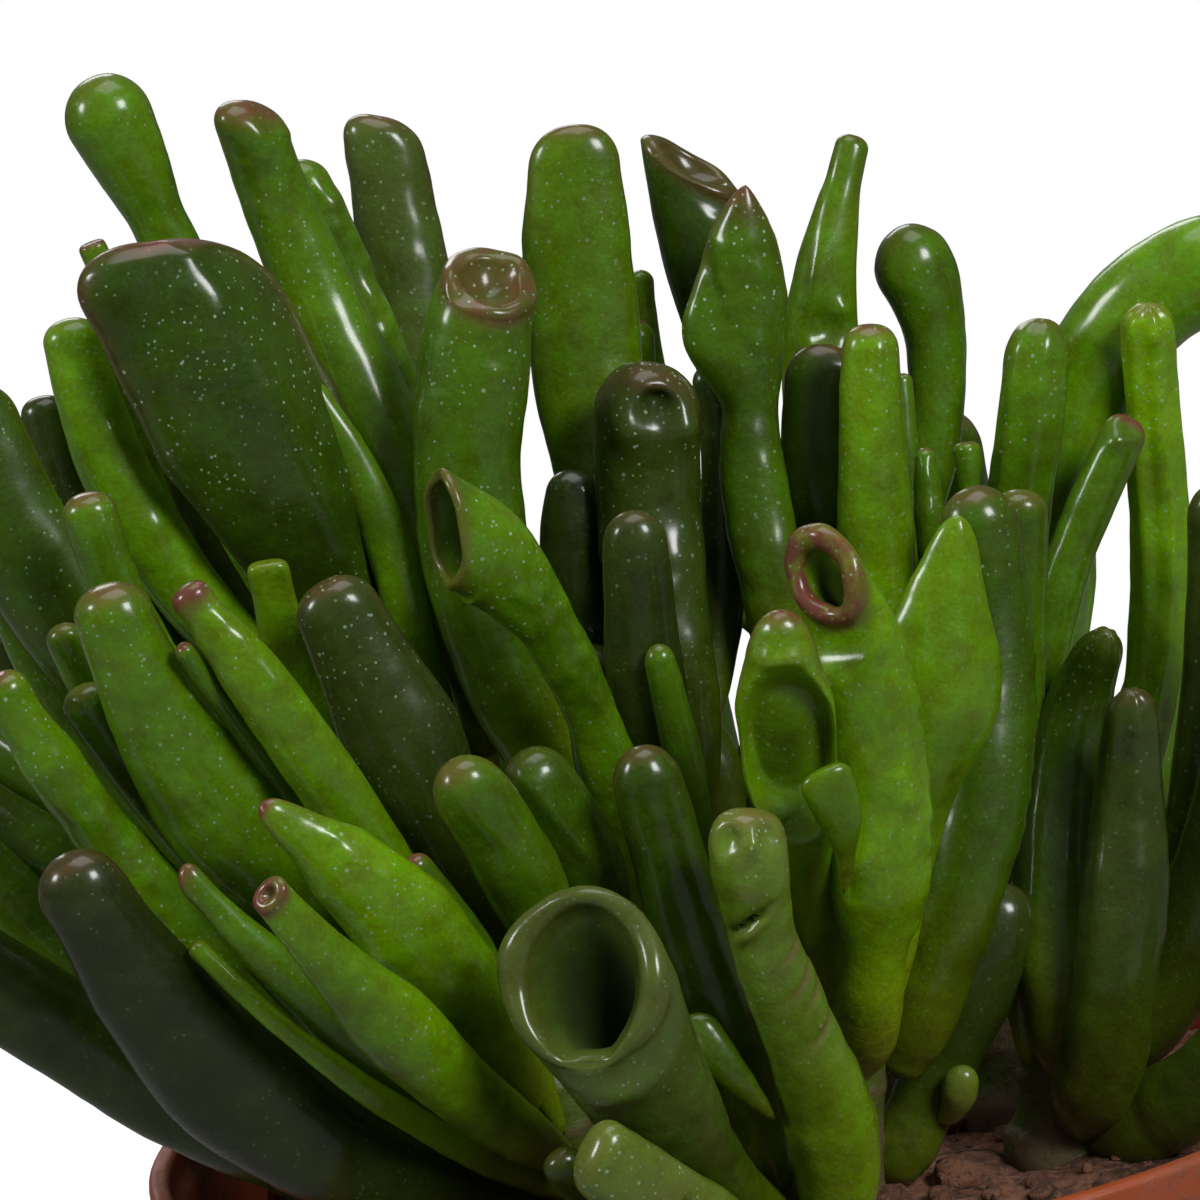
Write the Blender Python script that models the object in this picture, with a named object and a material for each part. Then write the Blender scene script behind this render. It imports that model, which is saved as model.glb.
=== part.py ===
"""Finger jade plant (Crassula ovata, with rolled and trumpet shaped leaves) in a plastic nursery pot.

Lengths are in millimetres until a mesh is made, which is in metres. The origin is the centre of the
pot's underside, +Z is up and -Y is the plant's front.
"""

import math

import bmesh
import bpy
import numpy as np

MM = 0.001

# Pot: a 12 cm nursery pot, moulded with one wall thickness and a wider collar at the top.
POT_HEIGHT = 105.0
POT_RIM_RADIUS = 60.0
POT_BASE_RADIUS = 42.5
POT_WALL = 1.3
COLLAR_HEIGHT = 19.0
COLLAR_STEP = 2.0
COLLAR_DRAFT = 1.5
LIP_THICKNESS = 2.1
POT_SIDES = 36
DRAIN_HOLES = 6
DRAIN_RADIUS = 3.5
DRAIN_CIRCLE_RADIUS = 29.0

# Soil: fills the pot to 10 mm below the lip.
SOIL_TOP = 95.0
SOIL_EDGE_DROP = 2.0
TOUCHING_GAP = 0.35

# Stems and leaves.
TUBE_SIDES = 8
LEAF_BASE_RADIUS = 1.1
LEAF_SEAT_GAP = 0.2
LEAF_KNOTS = (0.25, 0.6, 0.92)
DOME_LENGTH = 0.45
MOUTH_SETBACK = 0.8
MOUTH_DEPTH = 0.3
MOUTH_STEEPEST = 0.55

# How crowded leaves are let press one another aside: the gap they end with, the places that are
# watched along each leaf, how easily it gives way along X, Y and Z, and how far it moves in a step.
CROWD_GAP = 0.5
CROWD_STEPS = 300
CROWD_PLACES = 9
CROWD_EASE = (0.15, 1.0, 0.15)
CROWD_SHARE = 0.2
CROWD_MOST = 1.2
CROWD_SEARCH = 4.0
CROWD_SEARCH_EVERY = 10
STEM_BALLS = 12
RIM_BALLS = 96
RIM_BALL_RADIUS = 3.0

# Each stem: its line from the soil to its tip, and its radius.
STEMS = {
    "stem_left_back": (((-10, 4, 95), (-20, 4, 118), (-28, 4, 146)), 3.6),
    "stem_left": (((-7, -8, 95), (-16, -13, 112), (-22, -15, 128)), 3.4),
    "stem_front_left": (((-12, -19, 95), (-18, -22, 106), (-21, -24, 115)), 3.4),
    "stem_centre": (((-2, 0, 95), (-6, -2, 118), (-9, 0, 134)), 4.2),
    "stem_centre_back": (((8, 9, 95), (10, 8, 120), (9, 9, 146)), 3.8),
    "stem_centre_right": (((4, -10, 95), (7, -12, 108), (10, -13, 122)), 3.4),
    "stem_right_back": (((21, 13, 95), (24, 13, 112), (27, 12, 126)), 3.4),
    "stem_right": (((26, -2, 95), (27, -1, 107)), 4.0),
    "stem_front": (((2, -25, 95), (2, -25, 104)), 3.8),
}

# Each leaf: its line from base to tip, its widths near the base, in the middle and near the tip, how
# thick it is as a share of its width, and its end: round, or a cup whose mouth faces the given way.
ROUND = None
LEAVES = {
    "club_far_left": (((-30, 6, 150), (-44, 10, 191), (-49, 10, 208)), (5.6, 5.4, 8.2), 0.85, ROUND),
    "finger_left": (((-27, 0, 139), (-29, 2, 179), (-35.5, 4, 204.5)), (8.4, 7.7, 6.7), 0.85, ROUND),
    "ridged_left": (((-25, 7, 146), (-27, 11, 178), (-32, 12, 197)), (6.0, 7.0, 5.6), 0.8, ROUND),
    "dark_left_back": (((-25, 13, 136), (-23, 21, 181), (-23, 24, 198)), (6.5, 8.4, 7.9), 0.7, ROUND),
    "broad_left": (((-30, -6, 142), (-38, -8, 174), (-45, -8, 195)), (9.0, 18.4, 19.0), 0.34, ROUND),
    "striped_left": (((-34, -4, 140), (-52, -4, 174), (-54, -2, 188)), (5.1, 5.8, 5.0), 0.8, ROUND),
    "wide_left": (((-33, -9, 132), (-60, -14, 168), (-65, -12, 185)), (7.0, 9.8, 10.0), 0.6, ROUND),
    "amber_left": (((-34, -12, 132), (-52, -24, 164), (-54, -25, 176)), (5.1, 6.1, 4.7), 0.8, ROUND),
    "long_red_tip": (((-23, -21, 119), (-37, -37, 151), (-46, -39, 169)), (5.6, 5.8, 4.2), 0.85, ROUND),
    "big_left_front": (((-27, -18, 120), (-48, -34, 151), (-53, -38, 170)), (7.0, 9.4, 7.0), 0.8, ROUND),
    "knob_tip": (((-21, -25, 117), (-33, -43, 139), (-42, -46, 150)), (6.5, 9.6, 5.6), 0.7, ROUND),
    "button_tip": (((-19, -32, 107), (-35, -52, 132), (-42, -56, 144)), (5.1, 7.0, 5.6), 0.8, (-5, -7, 5)),
    "crescent_left": (((-22, -24, 112), (-42, -44, 133), (-50, -45, 145)), (4.7, 6.5, 3.8), 0.7, ROUND),
    "red_tip_left": (((-26, -20, 108), (-57, -34, 147), (-64, -36, 163)), (5.6, 5.8, 4.7), 0.85, ROUND),
    "dark_front_left": (((-20, -24, 99), (-52, -42, 129), (-60, -46, 148)), (9.5, 12.0, 8.0), 0.8, ROUND),
    "dark_low_left": (((-20, -19, 97), (-60, -32, 126), (-77, -35, 143)), (8.0, 10.3, 8.4), 0.75, ROUND),
    "low_left": (((-22, -13, 106), (-66, -20, 136), (-75, -18, 153)), (6.5, 8.4, 6.5), 0.8, ROUND),
    "dark_inner_left": (((-23, -12, 127), (-30, -22, 151), (-34, -22, 164)), (8.0, 10.7, 8.0), 0.7, ROUND),
    "cup_tall": (((-14, -4, 128), (-20, -8, 166), (-15, -8, 186)), (8.5, 10.3, 10.4), 0.85, (1, -6, 8)),
    "paddle": (((-8, 4, 132), (-7, 12, 177), (-5, 14, 196)), (7.5, 9.9, 9.0), 0.5, ROUND),
    "cup_dark": (((-6, -4, 132), (-3.4, 0, 160.6), (-1.3, 0, 174.4)), (7.5, 9.8, 10.6), 0.85, (0, -6, 8)),
    "dark_inner": (((-6, -8, 128), (-6, -12, 154), (-5, -12, 164)), (6.5, 7.5, 5.6), 0.8, ROUND),
    "funnel_high": (((7, 12, 144), (5, 18, 176), (5.2, 20, 189)), (4.2, 4.4, 8.2), 0.9, (5, -3, 6)),
    "spoon_high": (((4, 4, 136), (7, 6, 169), (10, 8, 189)), (7.4, 7.7, 9.2), 0.75, ROUND),
    "horn": (((11, 12, 144), (16, 16, 176), (21, 18, 190)), (6.2, 6.2, 2.7), 0.8, ROUND),
    "finger_centre": (((15, 2, 128), (17.4, 1, 159), (19.4, 3, 175)), (7.0, 7.0, 5.9), 0.85, (0, -4, 9)),
    "s_curve": (((14, 12, 138), (24.8, 19, 162), (25.9, 20, 172), (23.1, 20, 180)), (5.1, 5.8, 7.5), 0.85, ROUND),
    "finger_right": (((25, 10, 125), (32, 12, 157), (36, 12, 171)), (5.6, 6.5, 6.2), 0.85, ROUND),
    "arching_right": (
        ((26, 16, 120), (37, 18, 158), (46, 17, 170), (57, 14, 173)),
        (6.5, 9.8, 10.0),
        0.85,
        ROUND,
    ),
    "ring": (
        ((6, -18, 110), (10.6, -27, 124), (12.4, -29.5, 140), (10.9, -32, 159)),
        (5.6, 8.4, 9.6),
        0.75,
        (-3, -9, 2),
    ),
    "slim_right": (
        ((30, 10, 114), (38.6, 11.5, 127.5), (43.8, 12.5, 147.6), (46, 12, 171.5)),
        (4.7, 4.9, 4.7),
        0.85,
        ROUND,
    ),
    "pink_cup_right": (((26.5, 6, 116), (31.6, 5.5, 142), (42.6, 7, 161.5)), (4.8, 4.8, 4.6), 0.9, (4, -6, 5)),
    "spout": (((6.2, -17, 117), (5.8, -31.5, 143.7), (6.9, -34, 158)), (4.7, 7.5, 7.2), 0.75, (-6, -5, 6)),
    "flat_bright": (((9.4, -14, 117), (19.6, -18, 144), (24.2, -17, 160)), (4.4, 10.4, 6.5), 0.45, ROUND),
    "crescent_right": (
        ((7, -14, 109), (17, -14, 118), (23.2, -11, 133), (26, -6, 160)),
        (6.5, 8.8, 7.3),
        0.75,
        ROUND,
    ),
    "upright_right": (((24, 2, 103), (29, -2, 122), (37, -4, 144)), (7.2, 7.4, 5.2), 0.85, ROUND),
    "upright_right_front": (((26, -6, 99), (34, -12, 119), (38, -12, 140)), (7.6, 7.9, 5.6), 0.85, ROUND),
    "dark_far_right": (((31, 0, 103), (44.5, -6, 121), (52.2, -6, 151)), (7.4, 9.6, 8.4), 0.85, ROUND),
    "low_right": (((30, -6, 97), (42, -18, 106), (54, -25, 118)), (7.4, 8.0, 6.5), 0.8, ROUND),
    "trumpet": (
        ((-2, -29, 99), (-9, -40.5, 110.5), (-12.4, -48.5, 120.6), (-15.8, -54, 131.7)),
        (7.5, 11.6, 16.0),
        0.95,
        (-4, -9, 4),
    ),
    "front_stub": (((-2, -30, 97), (-11, -54, 109), (-18, -60, 118)), (5.6, 8.4, 7.0), 0.7, ROUND),
    "cracked_front": (
        ((3.9, -27, 98.4), (3.7, -35, 113), (0.7, -41, 128.3), (0.8, -44, 142)),
        (8.0, 6.7, 6.9),
        0.8,
        (-2, -4, 9),
    ),
    "front_slim": (((0, -23, 103), (-6, -32, 130), (-8, -34, 147)), (6.5, 7.5, 6.4), 0.85, ROUND),
    "ear": (
        ((-6, -8, 122), (-12.5, -20, 150), (-16.5, -24, 161), (-22, -27, 168)),
        (7.0, 5.8, 9.8),
        0.7,
        (-9, -4, 2),
    ),
    "pair_left": (((-17, -17, 122), (-21, -34, 139), (-25, -38, 149)), (5.6, 7.5, 7.0), 0.85, (0, -4, 8)),
    "pair_right": (((-15, -15, 120), (-15, -27, 137), (-19, -30, 147)), (5.1, 6.5, 5.6), 0.85, ROUND),
}

# Each back shoot: its stem's line and radius, and its leaves, each by how far up the stem it grows, its
# compass angle (90 is the back), its lean from upright, its length and its width.
BACK_SHOOTS = {
    "shoot_back_left": (
        ((-20, 22, 95), (-26, 26, 114), (-32, 29, 134)),
        3.4,
        (
            (0.2, 195, 64, 52, 9.5),
            (0.25, 112, 62, 44, 8.5),
            (0.3, 158, 58, 56, 9.0),
            (0.4, 228, 56, 46, 7.5),
            (0.5, 70, 50, 46, 8.0),
            (0.6, 135, 44, 52, 8.5),
            (0.7, 185, 40, 50, 8.0),
            (0.85, 95, 28, 44, 7.5),
            (0.92, 160, 20, 40, 7.5),
            (1.0, 215, 8, 42, 8.0),
        ),
    ),
    "shoot_back_centre": (
        ((-1, 27, 95), (-3, 31, 115), (-6, 32, 134)),
        3.4,
        (
            (0.2, 60, 60, 46, 9.0),
            (0.25, 122, 60, 50, 8.5),
            (0.35, 90, 54, 52, 9.0),
            (0.45, 28, 52, 44, 7.5),
            (0.55, 148, 46, 40, 8.0),
            (0.7, 82, 38, 46, 6.5),
            (0.85, 88, 26, 44, 8.5),
            (1.0, 90, 6, 38, 7.5),
        ),
    ),
    "shoot_back_right": (
        ((24, 24, 95), (27, 27, 112), (27, 30, 128)),
        3.4,
        (
            (0.2, 15, 62, 46, 9.0),
            (0.25, 98, 60, 46, 8.5),
            (0.35, 55, 56, 50, 9.0),
            (0.45, -22, 56, 44, 7.5),
            (0.6, 80, 42, 42, 8.0),
            (0.75, 66, 36, 44, 8.5),
            (0.9, 120, 26, 38, 7.5),
            (1.0, 100, 6, 32, 7.5),
        ),
    ),
}

PLASTIC_TERRACOTTA = (0.36, 0.12, 0.055)
PEAT_BROWN = (0.06, 0.035, 0.022)
STEM_GREEN = (0.1, 0.16, 0.03)
LEAF_GREEN = (0.09, 0.2, 0.02)


def material(name, colour, roughness):
    made = bpy.data.materials.new(name)
    made.use_nodes = True
    shader = made.node_tree.nodes["Principled BSDF"]
    shader.inputs["Base Color"].default_value = (*colour, 1)
    shader.inputs["Roughness"].default_value = roughness
    shader.inputs["Metallic"].default_value = 0
    return made


def add_object(name, mesh, colour, roughness):
    made = bpy.data.objects.new(name, mesh)
    bpy.context.scene.collection.objects.link(made)
    mesh.materials.append(material(name, colour, roughness))
    mesh.shade_smooth()
    mesh.set_sharp_from_angle(angle=math.radians(50))
    return made


def turned(name, profile, sides):
    """A solid of revolution about Z, whose profile runs from the axis, up the outside, to the axis."""
    bm = bmesh.new()
    points = [bm.verts.new((r * MM, 0, z * MM)) for r, z in profile]
    edges = [bm.edges.new(pair) for pair in zip(points, points[1:])]
    bmesh.ops.spin(
        bm,
        geom=points + edges,
        axis=(0, 0, 1),
        cent=(0, 0, 0),
        angle=2 * math.pi,
        steps=sides,
        use_merge=True,
    )
    bmesh.ops.remove_doubles(bm, verts=bm.verts, dist=0.01 * MM)
    bmesh.ops.recalc_face_normals(bm, faces=bm.faces)
    mesh = bpy.data.meshes.new(name)
    bm.to_mesh(mesh)
    bm.free()
    return mesh


def wall_radius(z):
    """The outer radius of the pot's tapered body at a height, below its collar."""
    share = z / (POT_HEIGHT - COLLAR_HEIGHT)
    body_top = POT_RIM_RADIUS - COLLAR_DRAFT - COLLAR_STEP
    return POT_BASE_RADIUS + (body_top - POT_BASE_RADIUS) * share


def build_pot():
    collar_z = POT_HEIGHT - COLLAR_HEIGHT
    inner_lip = POT_RIM_RADIUS - LIP_THICKNESS
    profile = (
        (0, 0),
        (POT_BASE_RADIUS - 2, 0),
        (wall_radius(2), 2),
        (wall_radius(collar_z), collar_z),
        (POT_RIM_RADIUS - COLLAR_DRAFT, collar_z + 1),
        (POT_RIM_RADIUS, POT_HEIGHT - 4),
        (POT_RIM_RADIUS, POT_HEIGHT - 1),
        (POT_RIM_RADIUS - 0.6, POT_HEIGHT),
        (inner_lip + 0.5, POT_HEIGHT),
        (inner_lip, POT_HEIGHT - 1),
        (POT_RIM_RADIUS - COLLAR_DRAFT - POT_WALL, collar_z + 2),
        (wall_radius(collar_z) - POT_WALL, collar_z),
        (wall_radius(2) - POT_WALL, 2 + POT_WALL),
        (wall_radius(2) - POT_WALL - 2, POT_WALL),
        (0, POT_WALL),
    )
    pot = add_object("pot", turned("pot", profile, POT_SIDES), PLASTIC_TERRACOTTA, 0.45)
    for index in range(DRAIN_HOLES):
        turn = 2 * math.pi * (index + 0.5) / DRAIN_HOLES
        x = DRAIN_CIRCLE_RADIUS * math.cos(turn)
        y = DRAIN_CIRCLE_RADIUS * math.sin(turn)
        bpy.ops.mesh.primitive_cylinder_add(
            vertices=10, radius=DRAIN_RADIUS * MM, depth=6 * MM, location=(x * MM, y * MM, 0)
        )
        cutter = bpy.context.object
        cutter.name = f"drain_cutter_{index}"
        cutter.hide_render = True
        cutter.display_type = "WIRE"
        cut = pot.modifiers.new(f"drain_{index}", "BOOLEAN")
        cut.operation = "DIFFERENCE"
        cut.solver = "EXACT"
        cut.object = cutter


def build_soil():
    collar_z = POT_HEIGHT - COLLAR_HEIGHT
    inside = POT_WALL + TOUCHING_GAP
    edge_z = SOIL_TOP - SOIL_EDGE_DROP
    profile = (
        (0, inside),
        (wall_radius(2) - inside - 2.2, inside),
        (wall_radius(5) - inside, 5),
        (wall_radius(collar_z) - inside, collar_z),
        (wall_radius(collar_z) - inside, edge_z),
        (46, SOIL_TOP),
        (0, SOIL_TOP),
    )
    add_object("soil", turned("soil", profile, POT_SIDES), PEAT_BROWN, 0.95)


def line_at(points, shares):
    """Points along the one smooth curve through a few points, at shares of its length from 0 to 1."""
    points = np.array(points, float)
    steps = np.linalg.norm(np.diff(points, axis=0), axis=1)
    knots = np.concatenate([[0], np.cumsum(steps)]) / steps.sum()
    fits = [np.polyfit(knots, points[:, axis], len(points) - 1) for axis in range(3)]
    return np.stack([np.polyval(fit, shares) for fit in fits], axis=-1)


def unit(vectors):
    return vectors / np.linalg.norm(vectors, axis=-1, keepdims=True)


def side_and_face(line):
    """At each point of a line, the way across the leaf and the way its flat face looks, mostly -Y."""
    along = unit(np.gradient(line, axis=0))
    face = np.array([0, -1, 0.3]) - along * (along @ np.array([0, -1, 0.3]))[:, None]
    face = unit(face)
    return np.cross(face, along), face, along


def stem_radius(radius, share):
    return radius * np.interp(share, (0, 0.3, 1), (1.15, 1, 0.9))


def seat_on_stem(points, stem, radius):
    """The leaf's line with its base moved to the nearest place on the stem's side that it grows from."""
    points = np.array(points, float)
    axis = line_at(stem, np.linspace(0.04, 1, 49))
    nearest = np.argmin(np.linalg.norm(axis - points[0], axis=1))
    up = unit(np.gradient(axis, axis=0))[nearest]
    out = points[1] - axis[nearest]
    out = unit(out - up * (out @ up))
    reach = LEAF_BASE_RADIUS + LEAF_SEAT_GAP
    points[0] = axis[nearest] + out * (stem_radius(radius, nearest / 48) + reach)
    return points


def nearest_stem(base):
    def distance(name):
        axis = line_at(STEMS[name][0], np.linspace(0, 1, 25))
        return np.linalg.norm(axis - np.array(base, float), axis=1).min()

    return min(STEMS, key=distance)


def leaf_width(widths, shares):
    """The leaf's width along it, from its narrow base."""
    low, _, high = widths
    return np.interp(shares, (0, 0.08, *LEAF_KNOTS, 1), (0.4 * low, 0.7 * low, *widths, high))


def crowd_balls(line, shares, widths, flat):
    """Three balls across each place on a leaf, for working out which leaves press on which."""
    side, _, _ = side_and_face(line)
    width = leaf_width(widths, shares)
    radius = 0.5 * width * flat
    reach = (0.5 * width - radius)[:, None] * side
    return np.concatenate([line - reach, line, line + reach]), np.tile(radius, 3)


def stem_balls(stem, radius):
    return line_at(stem, np.linspace(0, 1, STEM_BALLS)), np.full(STEM_BALLS, radius)


def rim_balls():
    """Balls along the pot's lip, which leaves hang over and don't cut into."""
    around = 2 * np.pi * np.arange(RIM_BALLS) / RIM_BALLS
    lip = POT_RIM_RADIUS - 1.5
    height = np.full(RIM_BALLS, POT_HEIGHT - 2.5)
    balls = np.stack([lip * np.cos(around), lip * np.sin(around), height], axis=1)
    return balls, np.full(RIM_BALLS, RIM_BALL_RADIUS)


STEM, RIM, NO_SHOOT = -1, -2, -1


def spread_leaves(leaves, stems):
    """Lets crowded leaves press one another aside, mostly to the front or the back.

    Each leaf bends smoothly from its base, which stays on its stem. The bends come back as three
    numbers an axis for each leaf: what its share, the share squared and the share cubed are times.
    """
    shares = np.linspace(0.1, 1, CROWD_PLACES)
    shapes = np.stack([shares, shares**2, shares**3], axis=1)
    smooth = shapes @ np.linalg.pinv(shapes)
    home, radii, owner, place, shoot = [], [], [], [], []
    for index, leaf in enumerate(leaves):
        balls, radius = crowd_balls(line_at(leaf["line"], shares), shares, leaf["widths"], leaf["flat"])
        home.append(balls)
        radii.append(radius)
        owner.append(np.full(3 * CROWD_PLACES, index))
        place.append(np.tile(np.arange(CROWD_PLACES), 3))
        shoot.append(np.full(3 * CROWD_PLACES, leaf["shoot"]))
    for stem, radius, number in stems:
        balls, radius = stem_balls(stem, radius)
        home.append(balls)
        radii.append(radius)
        owner.append(np.full(STEM_BALLS, STEM))
        place.append(np.zeros(STEM_BALLS, int))
        shoot.append(np.full(STEM_BALLS, number))
    balls, radius = rim_balls()
    home, radii = np.concatenate([*home, balls]), np.concatenate([*radii, radius])
    owner = np.concatenate([*owner, np.full(RIM_BALLS, RIM)])
    place = np.concatenate([*place, np.zeros(RIM_BALLS, int)])
    shoot = np.concatenate([*shoot, np.full(RIM_BALLS, NO_SHOOT)])
    fixed = owner < 0
    near_base = fixed | (place < 3)
    bends = np.zeros((len(leaves), CROWD_PLACES, 3))
    for step in range(CROWD_STEPS):
        balls = home + np.where(fixed[:, None], 0, bends[owner, place])
        if step % CROWD_SEARCH_EVERY == 0:
            apart = np.linalg.norm(balls[:, None] - balls[None], axis=2)
            near = apart < radii[:, None] + radii[None] + CROWD_SEARCH
            near &= (owner[:, None] != owner[None]) & ~(fixed[:, None] & fixed[None])
            one_shoot = (shoot[:, None] == shoot[None]) & (shoot > NO_SHOOT)
            near &= ~(near_base[:, None] & near_base[None] & one_shoot)
            first, second = np.nonzero(np.triu(near))
        gap = balls[first] - balls[second]
        apart = np.linalg.norm(gap, axis=1) + 1e-9
        overlap = radii[first] + radii[second] + CROWD_GAP - apart
        touch = overlap > 0
        way = gap[touch] / apart[touch, None]
        on_rim = ((owner[first] == RIM) | (owner[second] == RIM))[touch]
        push = way * np.where(on_rim[:, None], 1, CROWD_EASE)
        push *= (overlap[touch] / (way * push).sum(axis=1))[:, None]
        size = np.linalg.norm(push, axis=1, keepdims=True)
        push *= np.minimum(1, CROWD_MOST / size) * CROWD_SHARE
        moves = np.zeros_like(bends)
        for balls_moved, sign in ((first[touch], 1), (second[touch], -1)):
            free = ~fixed[balls_moved]
            np.add.at(moves, (owner[balls_moved[free]], place[balls_moved[free]]), sign * push[free])
        bends = np.einsum("ij,njk->nik", smooth, bends + moves)
    return np.einsum("ij,njk->nik", np.linalg.pinv(shapes), bends)


def leaf_line(leaf, shares):
    shares = np.asarray(shares, float)
    bend = np.stack([shares, shares**2, shares**3], axis=1) @ leaf["bend"]
    return line_at(leaf["line"], shares) + bend


def ring(centre, across, up, half_width, half_height):
    turns = 2 * np.pi * np.arange(TUBE_SIDES) / TUBE_SIDES
    return (
        centre
        + np.outer(np.cos(turns) * half_width, across)
        + np.outer(np.sin(turns) * half_height, up)
    )


def leaf_rings(leaf):
    """The leaf as (start point, rings, end point)."""
    fine = np.linspace(0, 1, 101)
    line = leaf_line(leaf, fine)
    side, face, along = side_and_face(line)
    length = np.linalg.norm(np.diff(line, axis=0), axis=1).sum()
    tip_width = leaf["widths"][2]
    dome = 1 - DOME_LENGTH * tip_width / length
    cupped = leaf["mouth"] is not None
    last = 1 - MOUTH_SETBACK * tip_width / length if cupped else dome
    shares = np.concatenate([[0, 0.09], np.linspace(0.25, last, 4)])
    rings = []
    for share in shares:
        at = int(round(share * 100))
        half_width = 0.5 * leaf_width(leaf["widths"], share)
        if share == 0:
            half_width = LEAF_BASE_RADIUS
        half_height = max(half_width * leaf["flat"], LEAF_BASE_RADIUS)
        rings.append(ring(line[at], side[at], face[at], half_width, half_height))
    start = line[0] - along[0] * 0.9 * LEAF_BASE_RADIUS
    half_width = 0.5 * tip_width
    if cupped:
        mouth = unit(np.array(leaf["mouth"], float))
        across = unit(side[-1] - mouth * (side[-1] @ mouth))
        slant = max(mouth @ along[-1], MOUTH_STEEPEST)
        half_height = half_width * leaf["flat"] / slant
        rings.append(ring(line[-1], across, np.cross(mouth, across), half_width, half_height))
        end = line[-1] - mouth * MOUTH_DEPTH * tip_width * leaf["flat"]
    else:
        at = int(round((dome + 0.7 * (1 - dome)) * 100))
        rings.append(ring(line[at], side[at], face[at], 0.7 * half_width, 0.7 * half_width * leaf["flat"]))
        end = line[-1]
    return start, rings, end


def tube_mesh(name, start, rings, end):
    bm = bmesh.new()
    loops = [[bm.verts.new(point * MM) for point in loop] for loop in rings]
    for lower, upper in zip(loops, loops[1:]):
        for index in range(TUBE_SIDES):
            after = (index + 1) % TUBE_SIDES
            bm.faces.new((lower[index], lower[after], upper[after], upper[index]))
    for loop, point in ((loops[0][::-1], start), (loops[-1], end)):
        pole = bm.verts.new(point * MM)
        for index in range(TUBE_SIDES):
            bm.faces.new((loop[index], loop[(index + 1) % TUBE_SIDES], pole))
    mesh = bpy.data.meshes.new(name)
    bm.to_mesh(mesh)
    bm.free()
    return mesh


def stem_mesh(name, stem, radius):
    shares = (0, 0.3, 0.65, 1)
    line = line_at(stem, np.linspace(0, 1, 31))
    side, face, along = side_and_face(line)
    rings = []
    for share in shares:
        at = int(round(share * 30))
        thick = stem_radius(radius, share)
        rings.append(ring(line[at], side[at], face[at], thick, thick))
    # The foot stands flat on the soil.
    rings[0][:, 2] = SOIL_TOP + TOUCHING_GAP
    start = np.array([*line[0][:2], SOIL_TOP + TOUCHING_GAP])
    return tube_mesh(name, start, rings, line[-1] + along[-1] * 0.6 * radius)


def shoot_leaf(stem, place, compass, lean, length):
    """A back leaf's line: out of the stem at a lean, then curving upwards."""
    base = line_at(stem, [place])[0]

    def way(angle):
        angle, turn = math.radians(angle), math.radians(compass)
        flat = math.sin(angle)
        return np.array([flat * math.cos(turn), flat * math.sin(turn), math.cos(angle)])

    middle = base + 0.5 * length * way(min(lean + 10, 84))
    return base, middle, middle + 0.5 * length * way(lean - 12)


def all_leaves():
    leaves = []
    for name, (points, widths, flat, mouth) in LEAVES.items():
        stem, radius = STEMS[nearest_stem(points[0])]
        line = seat_on_stem(points, stem, radius)
        leaf = {"name": f"leaf_{name}", "line": line, "widths": widths, "flat": flat}
        leaves.append({**leaf, "mouth": mouth, "shoot": NO_SHOOT})
    for number, (name, (stem, _, rows)) in enumerate(BACK_SHOOTS.items()):
        for place, compass, lean, length, width in rows:
            leaves.append(
                {
                    "name": name,
                    "line": shoot_leaf(stem, place, compass, lean, length),
                    "widths": (0.75 * width, width, 0.85 * width),
                    "flat": 0.8,
                    "mouth": None,
                    "shoot": number,
                }
            )
    stems = [(line, radius, NO_SHOOT) for line, radius in STEMS.values()]
    stems += [(line, radius, number) for number, (line, radius, _) in enumerate(BACK_SHOOTS.values())]
    for leaf, bend in zip(leaves, spread_leaves(leaves, stems)):
        leaf["bend"] = bend
    return leaves


def build_back_shoot(name, leaves):
    """A stem with its leaves grown as one."""
    stem, radius, _ = BACK_SHOOTS[name]
    shoot = add_object(name, stem_mesh(name, stem, radius), LEAF_GREEN, 0.35)
    for index, leaf in enumerate(leaves):
        part_name = f"{name}_leaf_{index}"
        part = add_object(part_name, tube_mesh(part_name, *leaf_rings(leaf)), LEAF_GREEN, 0.35)
        part.hide_render = True
        part.display_type = "WIRE"
        join = shoot.modifiers.new(part_name, "BOOLEAN")
        join.operation = "UNION"
        join.solver = "EXACT"
        join.object = part


def build_plant():
    leaves = all_leaves()
    for name, (stem, radius) in STEMS.items():
        add_object(name, stem_mesh(name, stem, radius), STEM_GREEN, 0.6)
    for leaf in leaves:
        if leaf["shoot"] == NO_SHOOT:
            add_object(leaf["name"], tube_mesh(leaf["name"], *leaf_rings(leaf)), LEAF_GREEN, 0.35)
    for name in BACK_SHOOTS:
        build_back_shoot(name, [leaf for leaf in leaves if leaf["name"] == name])


for old in list(bpy.data.objects):
    bpy.data.objects.remove(old, do_unlink=True)
build_pot()
build_soil()
build_plant()
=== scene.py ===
"""Finger jade plant in a plastic nursery pot: the look of each leaf, stem, crumb of peat and the pot.

Lengths are in millimetres until a mesh is made, which is in metres. +Z is up and -Y is the front.
"""

import math
import random

import bpy
import numpy as np
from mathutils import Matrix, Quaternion, Vector, noise


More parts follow.
